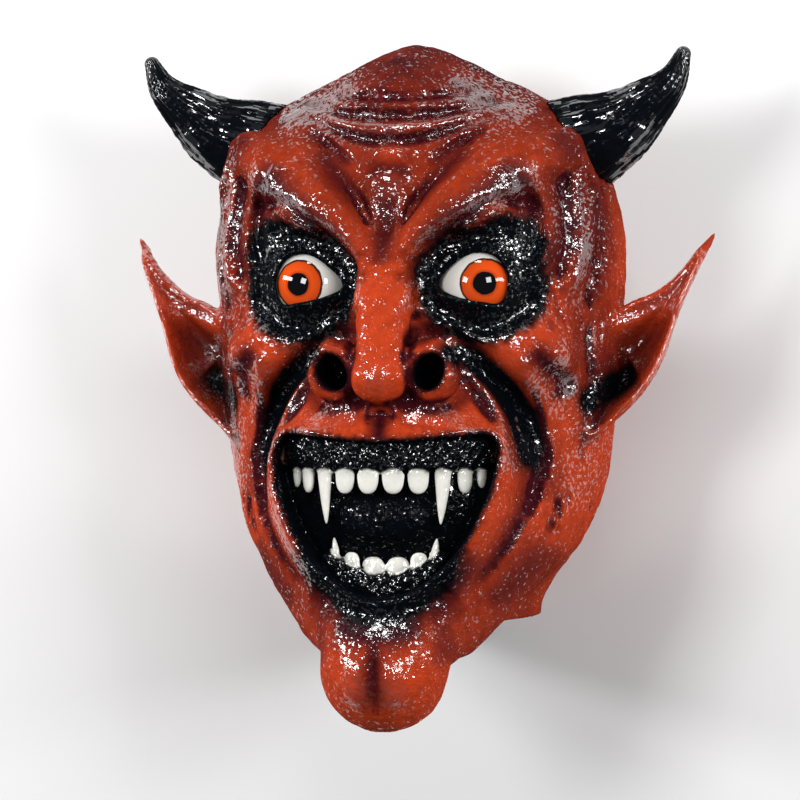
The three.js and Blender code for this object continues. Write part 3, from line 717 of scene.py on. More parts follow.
def paint_skin(points, normals, settings):
    """Colours of the skin and their share of gloss: airbrushed orange, maroon and black, with painted shade
    in the hollows.
    """
    raw_x, y, z = points.T
    x = np.abs(raw_x)
    front = smooth_step(z, 105, 150)
    # Cavity measures: a short step out along the normal still lies near the skin in hollows and creases
    cavity = np.clip(1 - skin_field(*(points + normals * CAVITY_NEAR).T) / CAVITY_NEAR, 0, 1)
    cavity_wide = np.clip(1 - skin_field(*(points + normals * CAVITY_WIDE).T) / CAVITY_WIDE, 0, 1)
    grain = wobble(points, 14, 3) * 0.5 + wobble(points, 6, 5) * 0.5
    cloud = wobble(points, 45, 7)

    orange, maroon, black = (np.array(c) for c in (settings.orange, settings.maroon, settings.black))
    colours = np.tile(orange, (len(points), 1))
    bright = np.exp(-(x / 15) ** 2 - ((y - 20) / 38) ** 2) + np.exp(-(x / 34) ** 2 - ((y + 140) / 30) ** 2)
    upper = smooth_step(y, 55, 110) * (1 - np.minimum(1, bright))
    colours *= (1 + 0.14 * grain + 0.06 * np.minimum(1, bright) - 0.3 * upper)[:, None]
    crown = 0.85 * smooth_step(y, 118, 160)
    flank = 0.7 * smooth_step(x, 76, 98) * smooth_step(x, 116, 104) * smooth_step(y, -30, 40)
    flank += 0.4 * smooth_step(z, 110, 60) * smooth_step(x, 116, 104)
    middle = 0.6 * np.exp(-(x / 26) ** 2) * smooth_step(y, 78, 104) * front
    jaw = 0.55 * smooth_step(y, -70, -104) * smooth_step(x, 24, 50)
    haze = np.maximum(np.maximum(crown, flank), np.maximum(middle, jaw))
    haze = haze * (0.85 + 0.25 * cloud + 0.25 * grain)
    # Maroon: painted shade from the cavity measures, less on the ears, and the strokes of airbrush and shade
    airbrush_and_shade = np.maximum(1.7 * smooth_step(cavity, 0.08, 0.55), smooth_step(cavity_wide, 0.2, 0.8))
    airbrush_and_shade *= 1 - 0.8 * smooth_step(x, 98, 112)
    airbrush_and_shade = np.maximum(airbrush_and_shade * (0.85 + 0.35 * grain), 1.15 * stroke_cover(x, y, MAROON_STROKES) * front)
    colours = mix(colours, maroon, np.maximum(airbrush_and_shade, haze))
    boss = np.exp(-(x / 7) ** 2 - ((y - 125) / 5) ** 2) * front
    colours = mix(colours, orange, 0.8 * boss)

    dark = np.minimum(1, 2.6 * stroke_cover(x, y, BLACK_STROKES, 3) * front)
    ragged = 1.8 * wobble(points, 6, 11)
    for (cx, cy), (rx, ry) in EYE_PATCHES:
        inside = (1 - np.hypot((x - cx) / rx, (y - cy) / ry)) * min(rx, ry)
        dark = np.maximum(dark, smooth_step(inside + ragged, -2.5, 4) * front)
    dark *= 1 - 0.95 * np.exp(-(x / 13) ** 4) * smooth_step(80 - y, 0, 10) * smooth_step(y, -30, -10)
    mouth = outline_distance(raw_x, y, MOUTH_OUTLINE)
    lip = 3 + 8 * smooth_step(y, -78, -104)
    dark = np.maximum(dark, smooth_step(lip + 0.6 * ragged - mouth, -3, 2) * smooth_step(z, 165, 185))
    # Black inside the nostrils: painted shade in their deep recesses
    u, v = nostril_turn(x, y)
    nostril = np.hypot(u / NOSTRIL_RIM[0], v / NOSTRIL_RIM[1])
    dark = np.maximum(dark, smooth_step(nostril, 1.2, 0.85) * smooth_step(z, 190, 205))
    # Black in the ear's hole: painted shade in the hollow of the concha
    concha = stroke(x, y, EAR_HOLE, 7.5) * smooth_step(z, 90, 110) * smooth_step(x, 90, 97)
    dark = np.maximum(dark, np.minimum(1, 1.6 * concha))
    # Maroon under the brow: partly painted shade below its overhang
    colours = mix(colours, maroon, 0.85 * (stroke(x, y, UNDER_BROW, 7) * front))
    # The ear's cup is maroon away from its ridges: partly airbrush, partly painted shade in the hollow
    ear = smooth_step(-outline_distance(x, y, EAR_OUTLINE), 2, 7) * smooth_step(x, 97, 104)
    ear *= smooth_step(z, 85, 100) * smooth_step(normals[:, 2], 0, 0.3)
    ridge = np.maximum(stroke(x, y, EAR_ROLL, 7.5), 0.8 * stroke(x, y, EAR_FOLD, 4))
    colours = mix(colours, maroon, 0.75 * ear * (1 - ridge))
    colours = mix(colours, black, dark)

    shine = np.maximum(stroke_cover(x, y, SHINE_STROKES) * smooth_step(z, 60, 100), 0.5 * ear)
    left = smooth_step(-raw_x, 84, 98) * smooth_step(y, -112, -60)
    left = left * smooth_step(y, 150, 110) * smooth_step(z, 50, 80)
    left = np.maximum(left, stroke(-raw_x, y, LEFT_FOLD, 5) * front)
    shine = np.maximum(shine * (1 - 0.35 * dark), 0.85 * left)
    shine = shine * (1 + 0.3 * cloud + 0.3 * grain) + 0.15 * smooth_step(normals[:, 2], 0.3, 0.7)
    inner = smooth_step(-skin_inner_side(points), -1, 0.5)
    return mix(colours, settings.lining, inner), shine * (1 - 0.8 * inner)


def skin_inner_side(points):
    """Negative on the lining, positive outside; all in front of the nostrils' floor counts as outside."""
    raw_x, y, z = points.T
    outside = 30 * (z > NOSTRIL_FLOOR) + 30 * (z < FLAT_BACK + 1)
    return head_form(np.abs(raw_x), y, z) + LINING_DEPTH + outside


HORN_PATH = (
    (68, 128, 120), (92, 137, 122), (112, 145, 125.5), (126, 155, 129), (142, 169, 133), (149, 184, 136),
)
HORN_RADII = (32, 27, 20.5, 15, 8.5, 4.3)
HORN_RUNS = 30
HORN_GIRTH = 16
HORN_STREAK = 22
HORN_RELIEF = 0.75
HORN_LOW, HORN_HIGH = (66, 100, 78), (166, 204, 158)


def horn_place(points):
    """Distance to a plain horn, the share of its length and the angle round it, for some points."""
    centres = curve_through(HORN_PATH, HORN_RUNS + 1)
    radii = curve_through([(r,) for r in HORN_RADII], HORN_RUNS + 1)[:, 0]
    best = np.full(len(points), 1e9)
    place = np.zeros(len(points))
    angle = np.zeros(len(points))
    for i, (a, b) in enumerate(zip(centres, centres[1:])):
        along = b - a
        t = np.clip((points - a) @ along / (along @ along), 0, 1)
        away = points - a - t[:, None] * along
        length = np.linalg.norm(away, axis=1)
        distance = length - radii[i] - t * (radii[i + 1] - radii[i])
        closer = distance < best
        best = np.where(closer, distance, best)
        place = np.where(closer, (i + t) / HORN_RUNS, place)
        side = np.cross(along, (0, 0, 1.0))
        side /= np.linalg.norm(side)
        up = np.cross(side, along)
        up /= np.linalg.norm(up)
        angle = np.where(closer, np.arctan2(away @ up, away @ side), angle)
    return best, place, angle


def horn_field(x, y, z):
    """A horn with long ridges and knots, cut off a hair above the head."""
    points = np.stack([x, y, z], 1)
    best, place, angle = horn_place(points)
    ridge = np.sin(9 * angle + 2.2 * np.sin(5 * place + 1)) + 0.7 * np.sin(19 * angle - 4 * place)
    knots = np.sin(38 * place + 1.7 * np.sin(3 * angle)) * np.sin(4 * angle + 9 * place)
    relief = (0.5 * ridge + 0.35 * knots * smooth_step(place, 0.9, 0.2)) * smooth_step(place, 1.02, 0.75)
    relief += 0.6 * wobble(points, 11, 21) * smooth_step(place, 1, 0.4)
    return np.maximum(best - HORN_RELIEF * relief, GAP - head_form(x, y, z))


def arch_point(x, y):
    """Middle of the row of teeth at a place in the front view."""
    centre, radii = MUZZLE
    inset = TOOTH_SINK + TOOTH_THICKNESS / 2
    rest = 1 - ((x - centre[0]) / (radii[0] - inset)) ** 2 - ((y - centre[1]) / (radii[1] - inset)) ** 2
    return np.array([x, y, centre[2] + (radii[2] - inset) * math.sqrt(max(rest, 0.02))])


def arch_axes(x, y):
    """Directions along the row of teeth and out of it at a place in the front view."""
    across = arch_point(x + 1, y) - arch_point(x - 1, y)
    across /= np.linalg.norm(across)
    deep = np.cross(across, (0, 1, 0))
    return across, deep / np.linalg.norm(deep)


def gum_line(x, row):
    """Height of the gum line of a row of teeth."""
    share, bow = row["gum"]
    return MOUTH_TOP - (share - bow * (x / MOUTH_SIZE[0]) ** 2) * MOUTH_SIZE[1]


def tooth_field(points, x, root, tip, width, sharp, lean):
    """One tooth: an oval column that swells and closes at its tip."""
    foot = arch_point(x, root)
    across, deep = arch_axes(x, root)
    share = (points[:, 1] - root) / (tip - root)
    bend = np.clip(share, 0, 1) ** 2
    a = (points - foot) @ across - lean * bend
    d = (points - foot) @ deep
    inside = np.clip(share, 0, 1)
    if sharp:
        size = np.maximum(1 - inside ** 1.6, 0.0) ** 0.75 + 0.05
    else:
        size = (0.86 + 0.5 * inside - 0.36 * inside ** 2) * np.sqrt(np.maximum(1 - inside ** 9, 0)) + 0.02
    half_width = 0.5 * width * size
    half_depth = 0.5 * TOOTH_THICKNESS * size ** 0.6 * (1 - 0.35 * inside)
    ring = np.sqrt((a / half_width) ** 2 + (d / half_depth) ** 2)
    side = (ring - 1) * np.minimum(half_width, half_depth)
    beyond = np.maximum(share - 1, -share) * abs(tip - root)
    return np.maximum(side, beyond)


TEETH_UPPER = {
    "gum": (0, 0), "direction": -1, "reach": 0.9, "show": 14,
    "teeth": (
        (0.115, 0.19, 0.33, False, 0), (0.335, 0.185, 0.33, False, 0), (0.545, 0.18, 0.53, True, -1.5),
        (0.72, 0.15, 0.33, False, 0), (0.85, 0.11, 0.3, False, 0),
    ),
}
TEETH_LOWER = {
    "gum": (0.985, 0.6), "direction": 1, "reach": 0.51, "show": 10,
    "teeth": ((0.115, 0.205, 0.23, False, 0), (0.31, 0.16, 0.21, False, 0), (0.45, 0.12, 0.24, True, 1.5)),
}


def gum_scallop(x, row):
    """How much further the gum reaches between the teeth than over their middles."""
    nearest = np.full(len(x), 9.0)
    for at, width, *_ in row["teeth"]:
        half = 0.5 * width * MOUTH_SIZE[0]
        nearest = np.minimum(nearest, np.abs(np.abs(x) - at * MOUTH_SIZE[0]) / half)
    return 1.8 * np.minimum(nearest, 1.2) ** 2 - 0.8


def teeth_field(row):
    """Field of a whole row: its teeth on a bar of gum."""
    half = MOUTH_SIZE[0]
    bar = [arch_point(x, gum_line(x, row)) for x in np.linspace(-row["reach"], row["reach"], 15) * half]
    direction = row["direction"]

    def field(x, y, z):
        points = np.stack([x, y, z], 1)
        gum = None
        for drop in np.linspace(0, row["show"] - GUM_BAR / 2, 4):
            level = [(p[0], p[1] + direction * drop, p[2], GUM_BAR / 2) for p in bar]
            tube = roll(x, y, z, level)
            gum = tube if gum is None else smooth_union(gum, tube, 2)
        form = gum
        for at, width, length, sharp, lean in row["teeth"]:
            for side in (-1, 1):
                place = side * at * half
                root = gum_line(place, row)
                tip = root + direction * length * MOUTH_SIZE[1]
                tooth = tooth_field(points, place, root, tip, width * half, sharp, side * lean)
                form = smooth_union(form, tooth, 1.2)
        fleshy = smooth_step(gum - form, 2.5, 0)
        return form + fleshy * (0.9 * wobble(points, 8, 51) + 0.4 * wobble(points, 3.5, 53))

    return field


COAT_IOR = 2.2
EYE_COAT_IOR = 1.5
# Where noise plus share turns to gloss: the share's weight, the start, the full gloss and the least
SPECK_SHARE, SPECK_START, SPECK_FULL, SPECK_LEAST = 0.27, 0.65, 0.7, 0.03
# Bumps of each finish: size and height in millimetres, and the level of noise where they start
SKIN_BUMPS = ((3.4, 0.26, 0.42), (1.7, 0.08, 0.45))
HORN_BUMPS = ((3, 0.2, 0.45), (1.4, 0.08, 0.45))
TEETH_BUMPS = ((1.3, 0.12, 0.6), (4, 0.15, 0.4))
BUMP_TOP = 0.8


def add_node(tree, kind, place, **values):
    """Add a shader node, with its inputs by name and its settings by attribute."""
    node = tree.nodes.new(kind)
    node.location = place
    for key, value in values.items():
        if key in node.inputs:
            node.inputs[key].default_value = value
        else:
            setattr(node, key, value)
    return node


def add_range(tree, place, value, limits):
    """Add a node that maps a value from one range to another; limits holds its inputs by name."""
    level = add_node(tree, "ShaderNodeMapRange", place)
    for key, limit in limits.items():
        level.inputs[key].default_value = limit
    tree.links.new(value, level.inputs["Value"])
    return level.outputs["Result"]


def new_material(name):
    """Make a material with a Principled shader and nothing else."""
    material = bpy.data.materials.new(name)
    material.use_nodes = True
    tree = material.node_tree
    tree.nodes.clear()
    output = add_node(tree, "ShaderNodeOutputMaterial", (900, 0))
    shader = add_node(tree, "ShaderNodeBsdfPrincipled", (600, 0))
    tree.links.new(shader.outputs["BSDF"], output.inputs["Surface"])
    return material, tree, shader


def gloss(shader, roughness, coat_roughness):
    """Matt paint under a clear coat."""
    shader.inputs["Roughness"].default_value = roughness
    shader.inputs["Specular IOR Level"].default_value = 0.0
    shader.inputs["Coat Weight"].default_value = 1.0
    shader.inputs["Coat IOR"].default_value = COAT_IOR
    shader.inputs["Coat Roughness"].default_value = coat_roughness


def add_bump(tree, shader, place, layers):
    """Stack layers of bumps, each on the one before."""
    before = None
    for k, (size, height, start) in enumerate(layers):
        noise = add_node(tree, "ShaderNodeTexNoise", (-850, -400 - 300 * k), Scale=1 / (size * MM), Detail=2)
        tree.links.new(place, noise.inputs["Vector"])
        limits = {"From Min": start, "From Max": BUMP_TOP}
        level = add_range(tree, (-600, -400 - 300 * k), noise.outputs["Fac"], limits)
        bump = add_node(tree, "ShaderNodeBump", (-300 + 200 * k, -400), Distance=height * MM)
        tree.links.new(level, bump.inputs["Height"])
        if before:
            tree.links.new(before.outputs["Normal"], bump.inputs["Normal"])
        before = bump
    tree.links.new(before.outputs["Normal"], shader.inputs["Normal"])
    tree.links.new(before.outputs["Normal"], shader.inputs["Coat Normal"])


def add_specks(tree, shader, place, shine, size):
    """Break the gloss up into specks of a size in millimetres, which close up where their share is high."""
    noise = add_node(tree, "ShaderNodeTexNoise", (-850, 600), Scale=1 / (size * MM), Detail=1.5)
    tree.links.new(place, noise.inputs["Vector"])
    share = add_node(tree, "ShaderNodeMath", (-600, 600), operation="MULTIPLY_ADD")
    share.inputs[1].default_value = SPECK_SHARE
    tree.links.new(shine, share.inputs[0])
    tree.links.new(noise.outputs["Fac"], share.inputs[2])
    limits = {"From Min": SPECK_START, "From Max": SPECK_FULL, "To Min": SPECK_LEAST}
    level = add_range(tree, (-350, 600), share.outputs["Value"], limits)
    tree.links.new(level, shader.inputs["Coat Weight"])


def painted_material(name, attribute, roughness, layers, mottle, speck):
    """Glossy paint that takes colour and gloss from a painted attribute, broken up a little by noise."""
    material, tree, shader = new_material(name)
    gloss(shader, roughness, 0.04)
    paint = add_node(tree, "ShaderNodeAttribute", (-1100, 200), attribute_name=attribute)
    place = add_node(tree, "ShaderNodeTexCoord", (-1100, -400)).outputs["Object"]
    add_bump(tree, shader, place, layers)
    add_specks(tree, shader, place, paint.outputs["Alpha"], speck)
    noise = add_node(tree, "ShaderNodeTexNoise", (-600, 0), Scale=1 / (4 * MM), Detail=4)
    tree.links.new(place, noise.inputs["Vector"])
    level = add_range(tree, (-350, 0), noise.outputs["Fac"], {"To Min": 1 - mottle, "To Max": 1 + mottle})
    tint = add_node(tree, "ShaderNodeVectorMath", (-100, 150), operation="SCALE")
    tree.links.new(paint.outputs["Color"], tint.inputs[0])
    tree.links.new(level, tint.inputs["Scale"])
    tree.links.new(tint.outputs["Vector"], shader.inputs["Base Color"])
    return material


class SkinSettings(bpy.types.PropertyGroup):
    """What can be set for the latex skin."""
    cell: bpy.props.FloatProperty(
        name="Cell", description="Spacing of the grid that the skin is meshed from", default=1.6 * MM,
        min=1 * MM, max=8 * MM, precision=4, unit="LENGTH")
    triangles: bpy.props.IntProperty(
        name="Triangles", description="How many triangles the finished skin has at most", default=192000)
    orange: bpy.props.FloatVectorProperty(
        name="Orange", description="Paint of the raised parts", default=(0.47, 0.046, 0.012), subtype="COLOR")
    # Maroon also serves as painted shade in the hollows; black also as painted shade in nostrils and ear
    # holes
    maroon: bpy.props.FloatVectorProperty(
        name="Maroon", description="Paint of the hollows", default=(0.050, 0.005, 0.008), subtype="COLOR")
    black: bpy.props.FloatVectorProperty(
        name="Black", description="Paint round the eyes, in the folds and the mouth",
        default=(0.002, 0.003, 0.0045), subtype="COLOR")
    lining: bpy.props.FloatVectorProperty(
        name="Lining", description="Unpainted latex of the inside", default=(0.42, 0.19, 0.13),
        subtype="COLOR")


class HornSettings(bpy.types.PropertyGroup):
    """What can be set for the horns."""
    cell: bpy.props.FloatProperty(
        name="Cell", description="Spacing of the grid that a horn is meshed from", default=0.8 * MM,
        min=0.4 * MM, max=5 * MM, precision=4, unit="LENGTH")
    colour: bpy.props.FloatVectorProperty(
        name="Colour", description="Paint of the horns", default=(0.003, 0.004, 0.006), subtype="COLOR")


class EyeSettings(bpy.types.PropertyGroup):
    """What can be set for the eyes."""
    iris_radius: bpy.props.FloatProperty(
        name="Iris radius", description="From the middle of the pupil to the iris's rim", default=12.6 * MM,
        unit="LENGTH")
    iris_colour: bpy.props.FloatVectorProperty(
        name="Iris", description="Colour of the iris", default=(0.80, 0.085, 0.008), subtype="COLOR")
    white: bpy.props.FloatVectorProperty(
        name="White", description="Colour of the white", default=(0.97, 0.95, 0.88), subtype="COLOR")


class TeethSettings(bpy.types.PropertyGroup):
    """What can be set for the teeth."""
    cell: bpy.props.FloatProperty(
        name="Cell", description="Spacing of the grid that the teeth are meshed from", default=0.6 * MM,
        min=0.3 * MM, max=4 * MM, precision=4, unit="LENGTH")
    ivory: bpy.props.FloatVectorProperty(
        name="Ivory", description="Colour of the teeth", default=(0.95, 0.93, 0.85), subtype="COLOR")
    gum: bpy.props.FloatVectorProperty(
        name="Gum", description="Colour of the gum", default=(0.002, 0.003, 0.004), subtype="COLOR")


class StageSettings(bpy.types.PropertyGroup):
    """What can be set for the camera, the floor and the lights."""
    lens: bpy.props.FloatProperty(
        name="Lens", description="Focal length of the camera in millimetres", default=136.6)
    away: bpy.props.FloatProperty(
        name="Distance", description="From the camera to the middle of the head", default=1.7, unit="LENGTH")
    turn: bpy.props.FloatProperty(
        name="Turn", description="How far the camera stands round to the mask's right",
        default=math.radians(10), subtype="ANGLE")
    floor: bpy.props.FloatVectorProperty(
        name="Floor", description="Colour of the floor", default=(0.93, 0.93, 0.93), subtype="COLOR")


SKIN_LOW, SKIN_HIGH = (-176, -190, 0), (176, 202, 268)


class DEVILMASK_OT_skin(bpy.types.Operator):
    """Build the latex skin with ears, lids, lips and wrinkles, painted"""
    bl_idname = "devilmask.skin"
    bl_label = "Skin"

    def execute(self, context):
        settings = context.scene.devilmask_skin
        points, faces = mesh_field(skin_field, SKIN_LOW, SKIN_HIGH, settings.cell, 4)
        material = painted_material("skin_paint", "paint", 0.32, SKIN_BUMPS, 0.35, 2.1)
        skin = new_piece("skin", points, faces, material)
        count = 2 * len(faces)
        if count > settings.triangles:
            outer = np.where(points[:, 2] < BACK_TOP, THIN_BACK, THIN_FRONT)
            plain = np.where(skin_inner_side(points) < 0, THIN_LINING, outer)
            plain[points[:, 1] < NECK_CUT[0] + 2 * WALL] = THIN_FRONT
            thin_out(skin, settings.triangles / count, plain)
        colours, shine = paint_skin(piece_points(skin), piece_normals(skin), settings)
        set_colours(skin, "paint", colours, shine)
        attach(skin, "root")
        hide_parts("mask_skin")
        return {"FINISHED"}


class DEVILMASK_OT_horns(bpy.types.Operator):
    """Build the two ridged black horns"""
    bl_idname = "devilmask.horns"
    bl_label = "Horns"

    def execute(self, context):
        settings = context.scene.devilmask_horns
        points, faces = mesh_field(horn_field, HORN_LOW, HORN_HIGH, settings.cell, 3)
        material, tree, shader = new_material("horn_paint")
        gloss(shader, 0.22, 0.05)
        shader.inputs["Base Color"].default_value = (*settings.colour, 1)
        place = add_node(tree, "ShaderNodeAttribute", (-1100, -400), attribute_name="horn_place")
        shine = add_node(tree, "ShaderNodeAttribute", (-1100, 200), attribute_name="horn_shine")
        add_bump(tree, shader, place.outputs["Vector"], HORN_BUMPS)
        add_specks(tree, shader, place.outputs["Vector"], shine.outputs["Fac"], 1.7)
        _, along, angle = horn_place(points)
        around = HORN_GIRTH * np.cos(angle), HORN_GIRTH * np.sin(angle)
        streaks = np.stack([*around, HORN_STREAK * along], 1) * MM
        patches = 0.35 + 0.55 * wobble(points, 30, 23)
        for side, name in ((-1, "left"), (1, "right")):
            placed = points * np.array([side, 1, 1])
            horn = new_piece("horn_shape_" + name, placed, faces[:, ::side], material)
            set_values(horn.data, "horn_place", "FLOAT_VECTOR", "vector", streaks)
            set_values(horn.data, "horn_shine", "FLOAT", "value", patches)
            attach(horn, "root")
            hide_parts("horn_" + name)
        return {"FINISHED"}


DOME_ROWS, DOME_COLUMNS = 48, 96


def eye_dome(side):
    """A dome with a flat back; returns its points and faces."""
    rows, columns = DOME_ROWS, DOME_COLUMNS
    low = math.acos((EYE_RADIUS - EYE_DEPTH) / EYE_RADIUS)
    points = [(0, 0, EYE_RADIUS)]
    for i in range(1, rows + 1):
        tilt = low * i / rows
        ring, height = EYE_RADIUS * math.sin(tilt), EYE_RADIUS * math.cos(tilt)
        for k in range(columns):
            turn = 2 * math.pi * k / columns
            points.append((ring * math.cos(turn), ring * math.sin(turn), height))
    points.append((0, 0, EYE_RADIUS - EYE_DEPTH))
    last = len(points) - 1
    faces = []
    for k in range(columns):
        after = (k + 1) % columns
        faces.append((0, 1 + k, 1 + after))
        for i in range(rows - 1):
            a, b = 1 + i * columns + k, 1 + i * columns + after
            faces.append((a, a + columns, b + columns, b))
        faces.append((last, 1 + (rows - 1) * columns + after, 1 + (rows - 1) * columns + k))
    return np.array(points) + np.array([side * EYE[0], EYE[1], EYE[2]]), faces


# Middle of each painted iris in the front view: the two eyes look slightly apart
IRIS_PLACE = {"left": (-49, 57), "right": (51, 57)}
PUPIL_BLACK = (0.002, 0.002, 0.003)


def iris_material(name, settings):
    """Painted eye: white, limbal ring, fibred iris and pupil, under a clear coat."""
    material, tree, shader = new_material(name)
    gloss(shader, 0.25, 0.02)
    shader.inputs["Coat IOR"].default_value = EYE_COAT_IOR
    place = add_node(tree, "ShaderNodeAttribute", (-1300, 0), attribute_name="iris_place")
    length = add_node(tree, "ShaderNodeVectorMath", (-1100, 100), operation="LENGTH")
    tree.links.new(place.outputs["Vector"], length.inputs[0])
    noise = add_node(tree, "ShaderNodeTexNoise", (-1100, -150), Scale=6.0, Detail=4)
    tree.links.new(place.outputs["Vector"], noise.inputs["Vector"])
    warp = add_node(tree, "ShaderNodeMath", (-900, 50), operation="MULTIPLY_ADD")
    warp.inputs[1].default_value = 0.05
    tree.links.new(noise.outputs["Fac"], warp.inputs[0])
    tree.links.new(length.outputs["Value"], warp.inputs[2])
    ramp = add_node(tree, "ShaderNodeValToRGB", (-700, 50))
    tree.links.new(warp.outputs[0], ramp.inputs["Fac"])
    iris, black = settings.iris_colour, PUPIL_BLACK
    stops = (
        (0.0, black), (0.258, black), (0.27, tuple(0.6 * c for c in iris)), (0.33, tuple(iris)),
        (0.49, tuple(0.9 * c for c in iris)), (0.515, tuple(0.3 * c for c in iris)), (0.525, black),
        (0.54, black), (0.56, tuple(settings.white)),
    )
    elements = ramp.color_ramp.elements
    for position, _ in stops[1:-1]:
        elements.new(position)
    for element, (position, colour) in zip(elements, stops):
        element.position = position
        element.color = (*colour, 1)
    tree.links.new(ramp.outputs["Color"], shader.inputs["Base Color"])
    return material


class DEVILMASK_OT_eyes(bpy.types.Operator):
    """Build the two eye domes with painted irises"""
    bl_idname = "devilmask.eyes"
    bl_label = "Eyes"

    def execute(self, context):
        settings = context.scene.devilmask_eyes
        material = iris_material("eye_paint", settings)
        radius = settings.iris_radius / MM
        for side, name in ((-1, "left"), (1, "right")):
            points, faces = eye_dome(side)
            mesh = bpy.data.meshes.new("eye_dome_" + name)
            mesh.from_pydata(to_frame(points).tolist(), [], faces)
            mesh.polygons.foreach_set("use_smooth", np.array([len(f) > 3 for f in faces]))
            mesh.materials.append(material)
            shift = (points - np.array([*IRIS_PLACE[name], 0])) / (2 * radius)
            shift[:, 2] = 0
            set_values(mesh, "iris_place", "FLOAT_VECTOR", "vector", shift)
            eye = bpy.data.objects.new("eye_dome_" + name, mesh)
            context.scene.collection.objects.link(eye)
            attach(eye, "root")
            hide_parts("eye_" + name)
        return {"FINISHED"}


class DEVILMASK_OT_teeth(bpy.types.Operator):
    """Build the upper and the lower row of teeth on their gums"""
    bl_idname = "devilmask.teeth"
    bl_label = "Teeth"

    def execute(self, context):
        settings = context.scene.devilmask_teeth
        material = painted_material("teeth_paint", "paint", 0.25, TEETH_BUMPS, 0.1, 1.8)
        for name, row in (("upper_teeth", TEETH_UPPER), ("lower_teeth", TEETH_LOWER)):
            field = teeth_field(row)
            low, high = (np.array(corner) / MM - PATTERN_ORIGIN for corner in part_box(name))
            points, faces = mesh_field(field, low - 4, high + 4, settings.cell, 3)
            teeth = new_piece(name + "_shape", points, faces, material)
            at = piece_points(teeth)
            share = np.abs(at[:, 1] - gum_line(at[:, 0], row))
            ivory = np.tile(np.array(settings.ivory), (len(at), 1))
            ivory *= (1 - 0.2 * smooth_step(share, row["show"] + 6, row["show"]))[:, None]
            edge = row["show"] + 0.3 + gum_scallop(at[:, 0], row) + 0.3 * wobble(at, 4, 31)
            gum = smooth_step(share, edge + 0.7, edge - 0.7)
            set_colours(teeth, "paint", mix(ivory, settings.gum, gum), 3 - 2.5 * gum)
            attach(teeth, "root")
            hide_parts(name)
        return {"FINISHED"}


# Soft boxes: place, aim, width and height in metres, and power in watts
LIGHTS = {
    "left": ((-1.3, 0.3, 0.6), (0, 0, 0.12), (0.18, 0.8), 11),
    "right": ((1.35, 0.2, 0.55), (0, 0, 0.12), (0.18, 0.8), 8),
    "top": ((0.0, 1.3, 1.0), (0, 0.05, 0.12), (0.8, 0.16), 10),
    "front_left": ((-0.6, 0.2, 1.6), (0, 0, 0.12), (0.36, 0.36), 8.5),
    "front_right": ((1.0, 0.2, 1.4), (0, 0, 0.12), (0.36, 0.36), 7.5),
}
WORLD_COLOUR = (0.75, 0.78, 0.82, 1)
WORLD_STRENGTH = 0.12
FLOOR_REACH = 6.0


def add_light(name, place, aim, size, power):
    """Add a soft box that shines at a point."""
    light = bpy.data.lights.new(name, "AREA")
    light.shape = "RECTANGLE"
    light.size, light.size_y = size
    light.energy = power
    lamp = bpy.data.objects.new(name, light)
    lamp.location = place
    lamp.rotation_mode = "QUATERNION"
    lamp.rotation_quaternion = (Vector(aim) - Vector(place)).to_track_quat("-Z", "Y")
    bpy.context.scene.collection.objects.link(lamp)
    return lamp


# Where the camera looks, and how far it stands to the left of that, in millimetres
VIEW_CENTRE = (0, -4.5, 115)
VIEW_SHIFT = 11.2


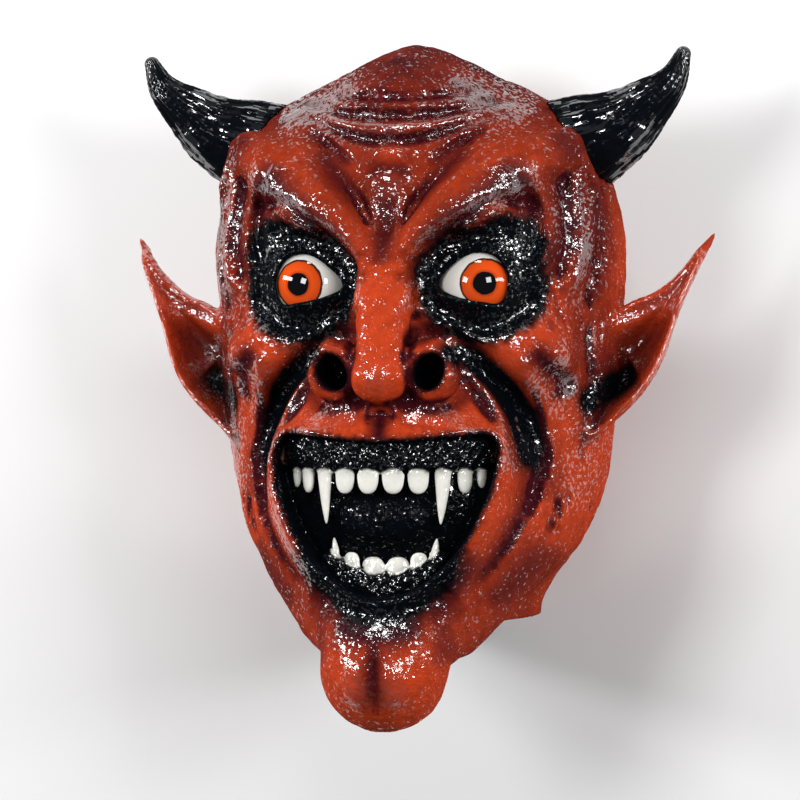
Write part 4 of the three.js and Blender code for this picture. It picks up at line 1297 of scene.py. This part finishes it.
class DEVILMASK_OT_stage(bpy.types.Operator):
    """Set up the floor, the lights and the camera"""
    bl_idname = "devilmask.stage"
    bl_label = "Stage"

    def execute(self, context):
        scene = context.scene
        settings = scene.devilmask_stage
        floor_mesh = bpy.data.meshes.new("floor")
        corners = [(u * FLOOR_REACH, v * FLOOR_REACH, 0) for u, v in ((-1, -1), (1, -1), (1, 1), (-1, 1))]
        floor_mesh.from_pydata(corners, [], [(0, 1, 2, 3)])
        material, tree, shader = new_material("floor_paper")
        shader.inputs["Base Color"].default_value = (*settings.floor, 1)
        shader.inputs["Roughness"].default_value = 0.9
        floor_mesh.materials.append(material)
        floor = bpy.data.objects.new("floor", floor_mesh)
        scene.collection.objects.link(floor)
        lights = [add_light(name, *values) for name, values in LIGHTS.items()]
        world = bpy.data.worlds.new("studio")
        world.use_nodes = True
        sky = world.node_tree.nodes["Background"]
        sky.inputs["Color"].default_value = WORLD_COLOUR
        sky.inputs["Strength"].default_value = WORLD_STRENGTH
        scene.world = world
        scene.view_settings.view_transform = "Standard"
        right = np.array([math.cos(settings.turn), 0, -math.sin(settings.turn)])
        ahead = np.array([math.sin(settings.turn), 0, math.cos(settings.turn)])
        spot = np.array(VIEW_CENTRE) - VIEW_SHIFT * right + settings.away / MM * ahead
        data = bpy.data.cameras.new("camera")
        data.lens = settings.lens
        camera = bpy.data.objects.new("camera", data)
        up = np.array([0, 1.0, 0])
        turned = Matrix(np.stack([right, up, ahead], 1).tolist()).to_4x4()
        camera.matrix_world = Matrix.Translation(Vector(to_frame(spot))) @ turned
        scene.collection.objects.link(camera)
        scene.camera = camera
        return {"FINISHED"}


class DEVILMASK_PT_panel(bpy.types.Panel):
    """Panel of the mask in the 3D view's sidebar"""
    bl_idname = "DEVILMASK_PT_panel"
    bl_label = "Devil Mask"
    bl_space_type = "VIEW_3D"
    bl_region_type = "UI"
    bl_category = "Devil Mask"

    def draw(self, context):
        for part in PARTS:
            settings = getattr(context.scene, "devilmask_" + part)
            column = self.layout.column(align=True)
            for name in settings.bl_rna.properties.keys():
                if name not in ("rna_type", "name"):
                    column.prop(settings, name)
            column.operator("devilmask." + part)


PARTS = {
    "skin": SkinSettings, "horns": HornSettings, "eyes": EyeSettings, "teeth": TeethSettings,
    "stage": StageSettings,
}
CLASSES = (
    *PARTS.values(), DEVILMASK_OT_skin, DEVILMASK_OT_horns, DEVILMASK_OT_eyes, DEVILMASK_OT_teeth,
    DEVILMASK_OT_stage, DEVILMASK_PT_panel,
)


def register():
    for kind in CLASSES:
        bpy.utils.register_class(kind)
    for part, settings in PARTS.items():
        setattr(bpy.types.Scene, "devilmask_" + part, bpy.props.PointerProperty(type=settings))


def unregister():
    for part in PARTS:
        delattr(bpy.types.Scene, "devilmask_" + part)
    for kind in reversed(CLASSES):
        bpy.utils.unregister_class(kind)


def main():
    register()
    bpy.ops.devilmask.skin()
    bpy.ops.devilmask.horns()
    bpy.ops.devilmask.eyes()
    bpy.ops.devilmask.teeth()
    bpy.ops.devilmask.stage()


if __name__ == "__main__":
    main()
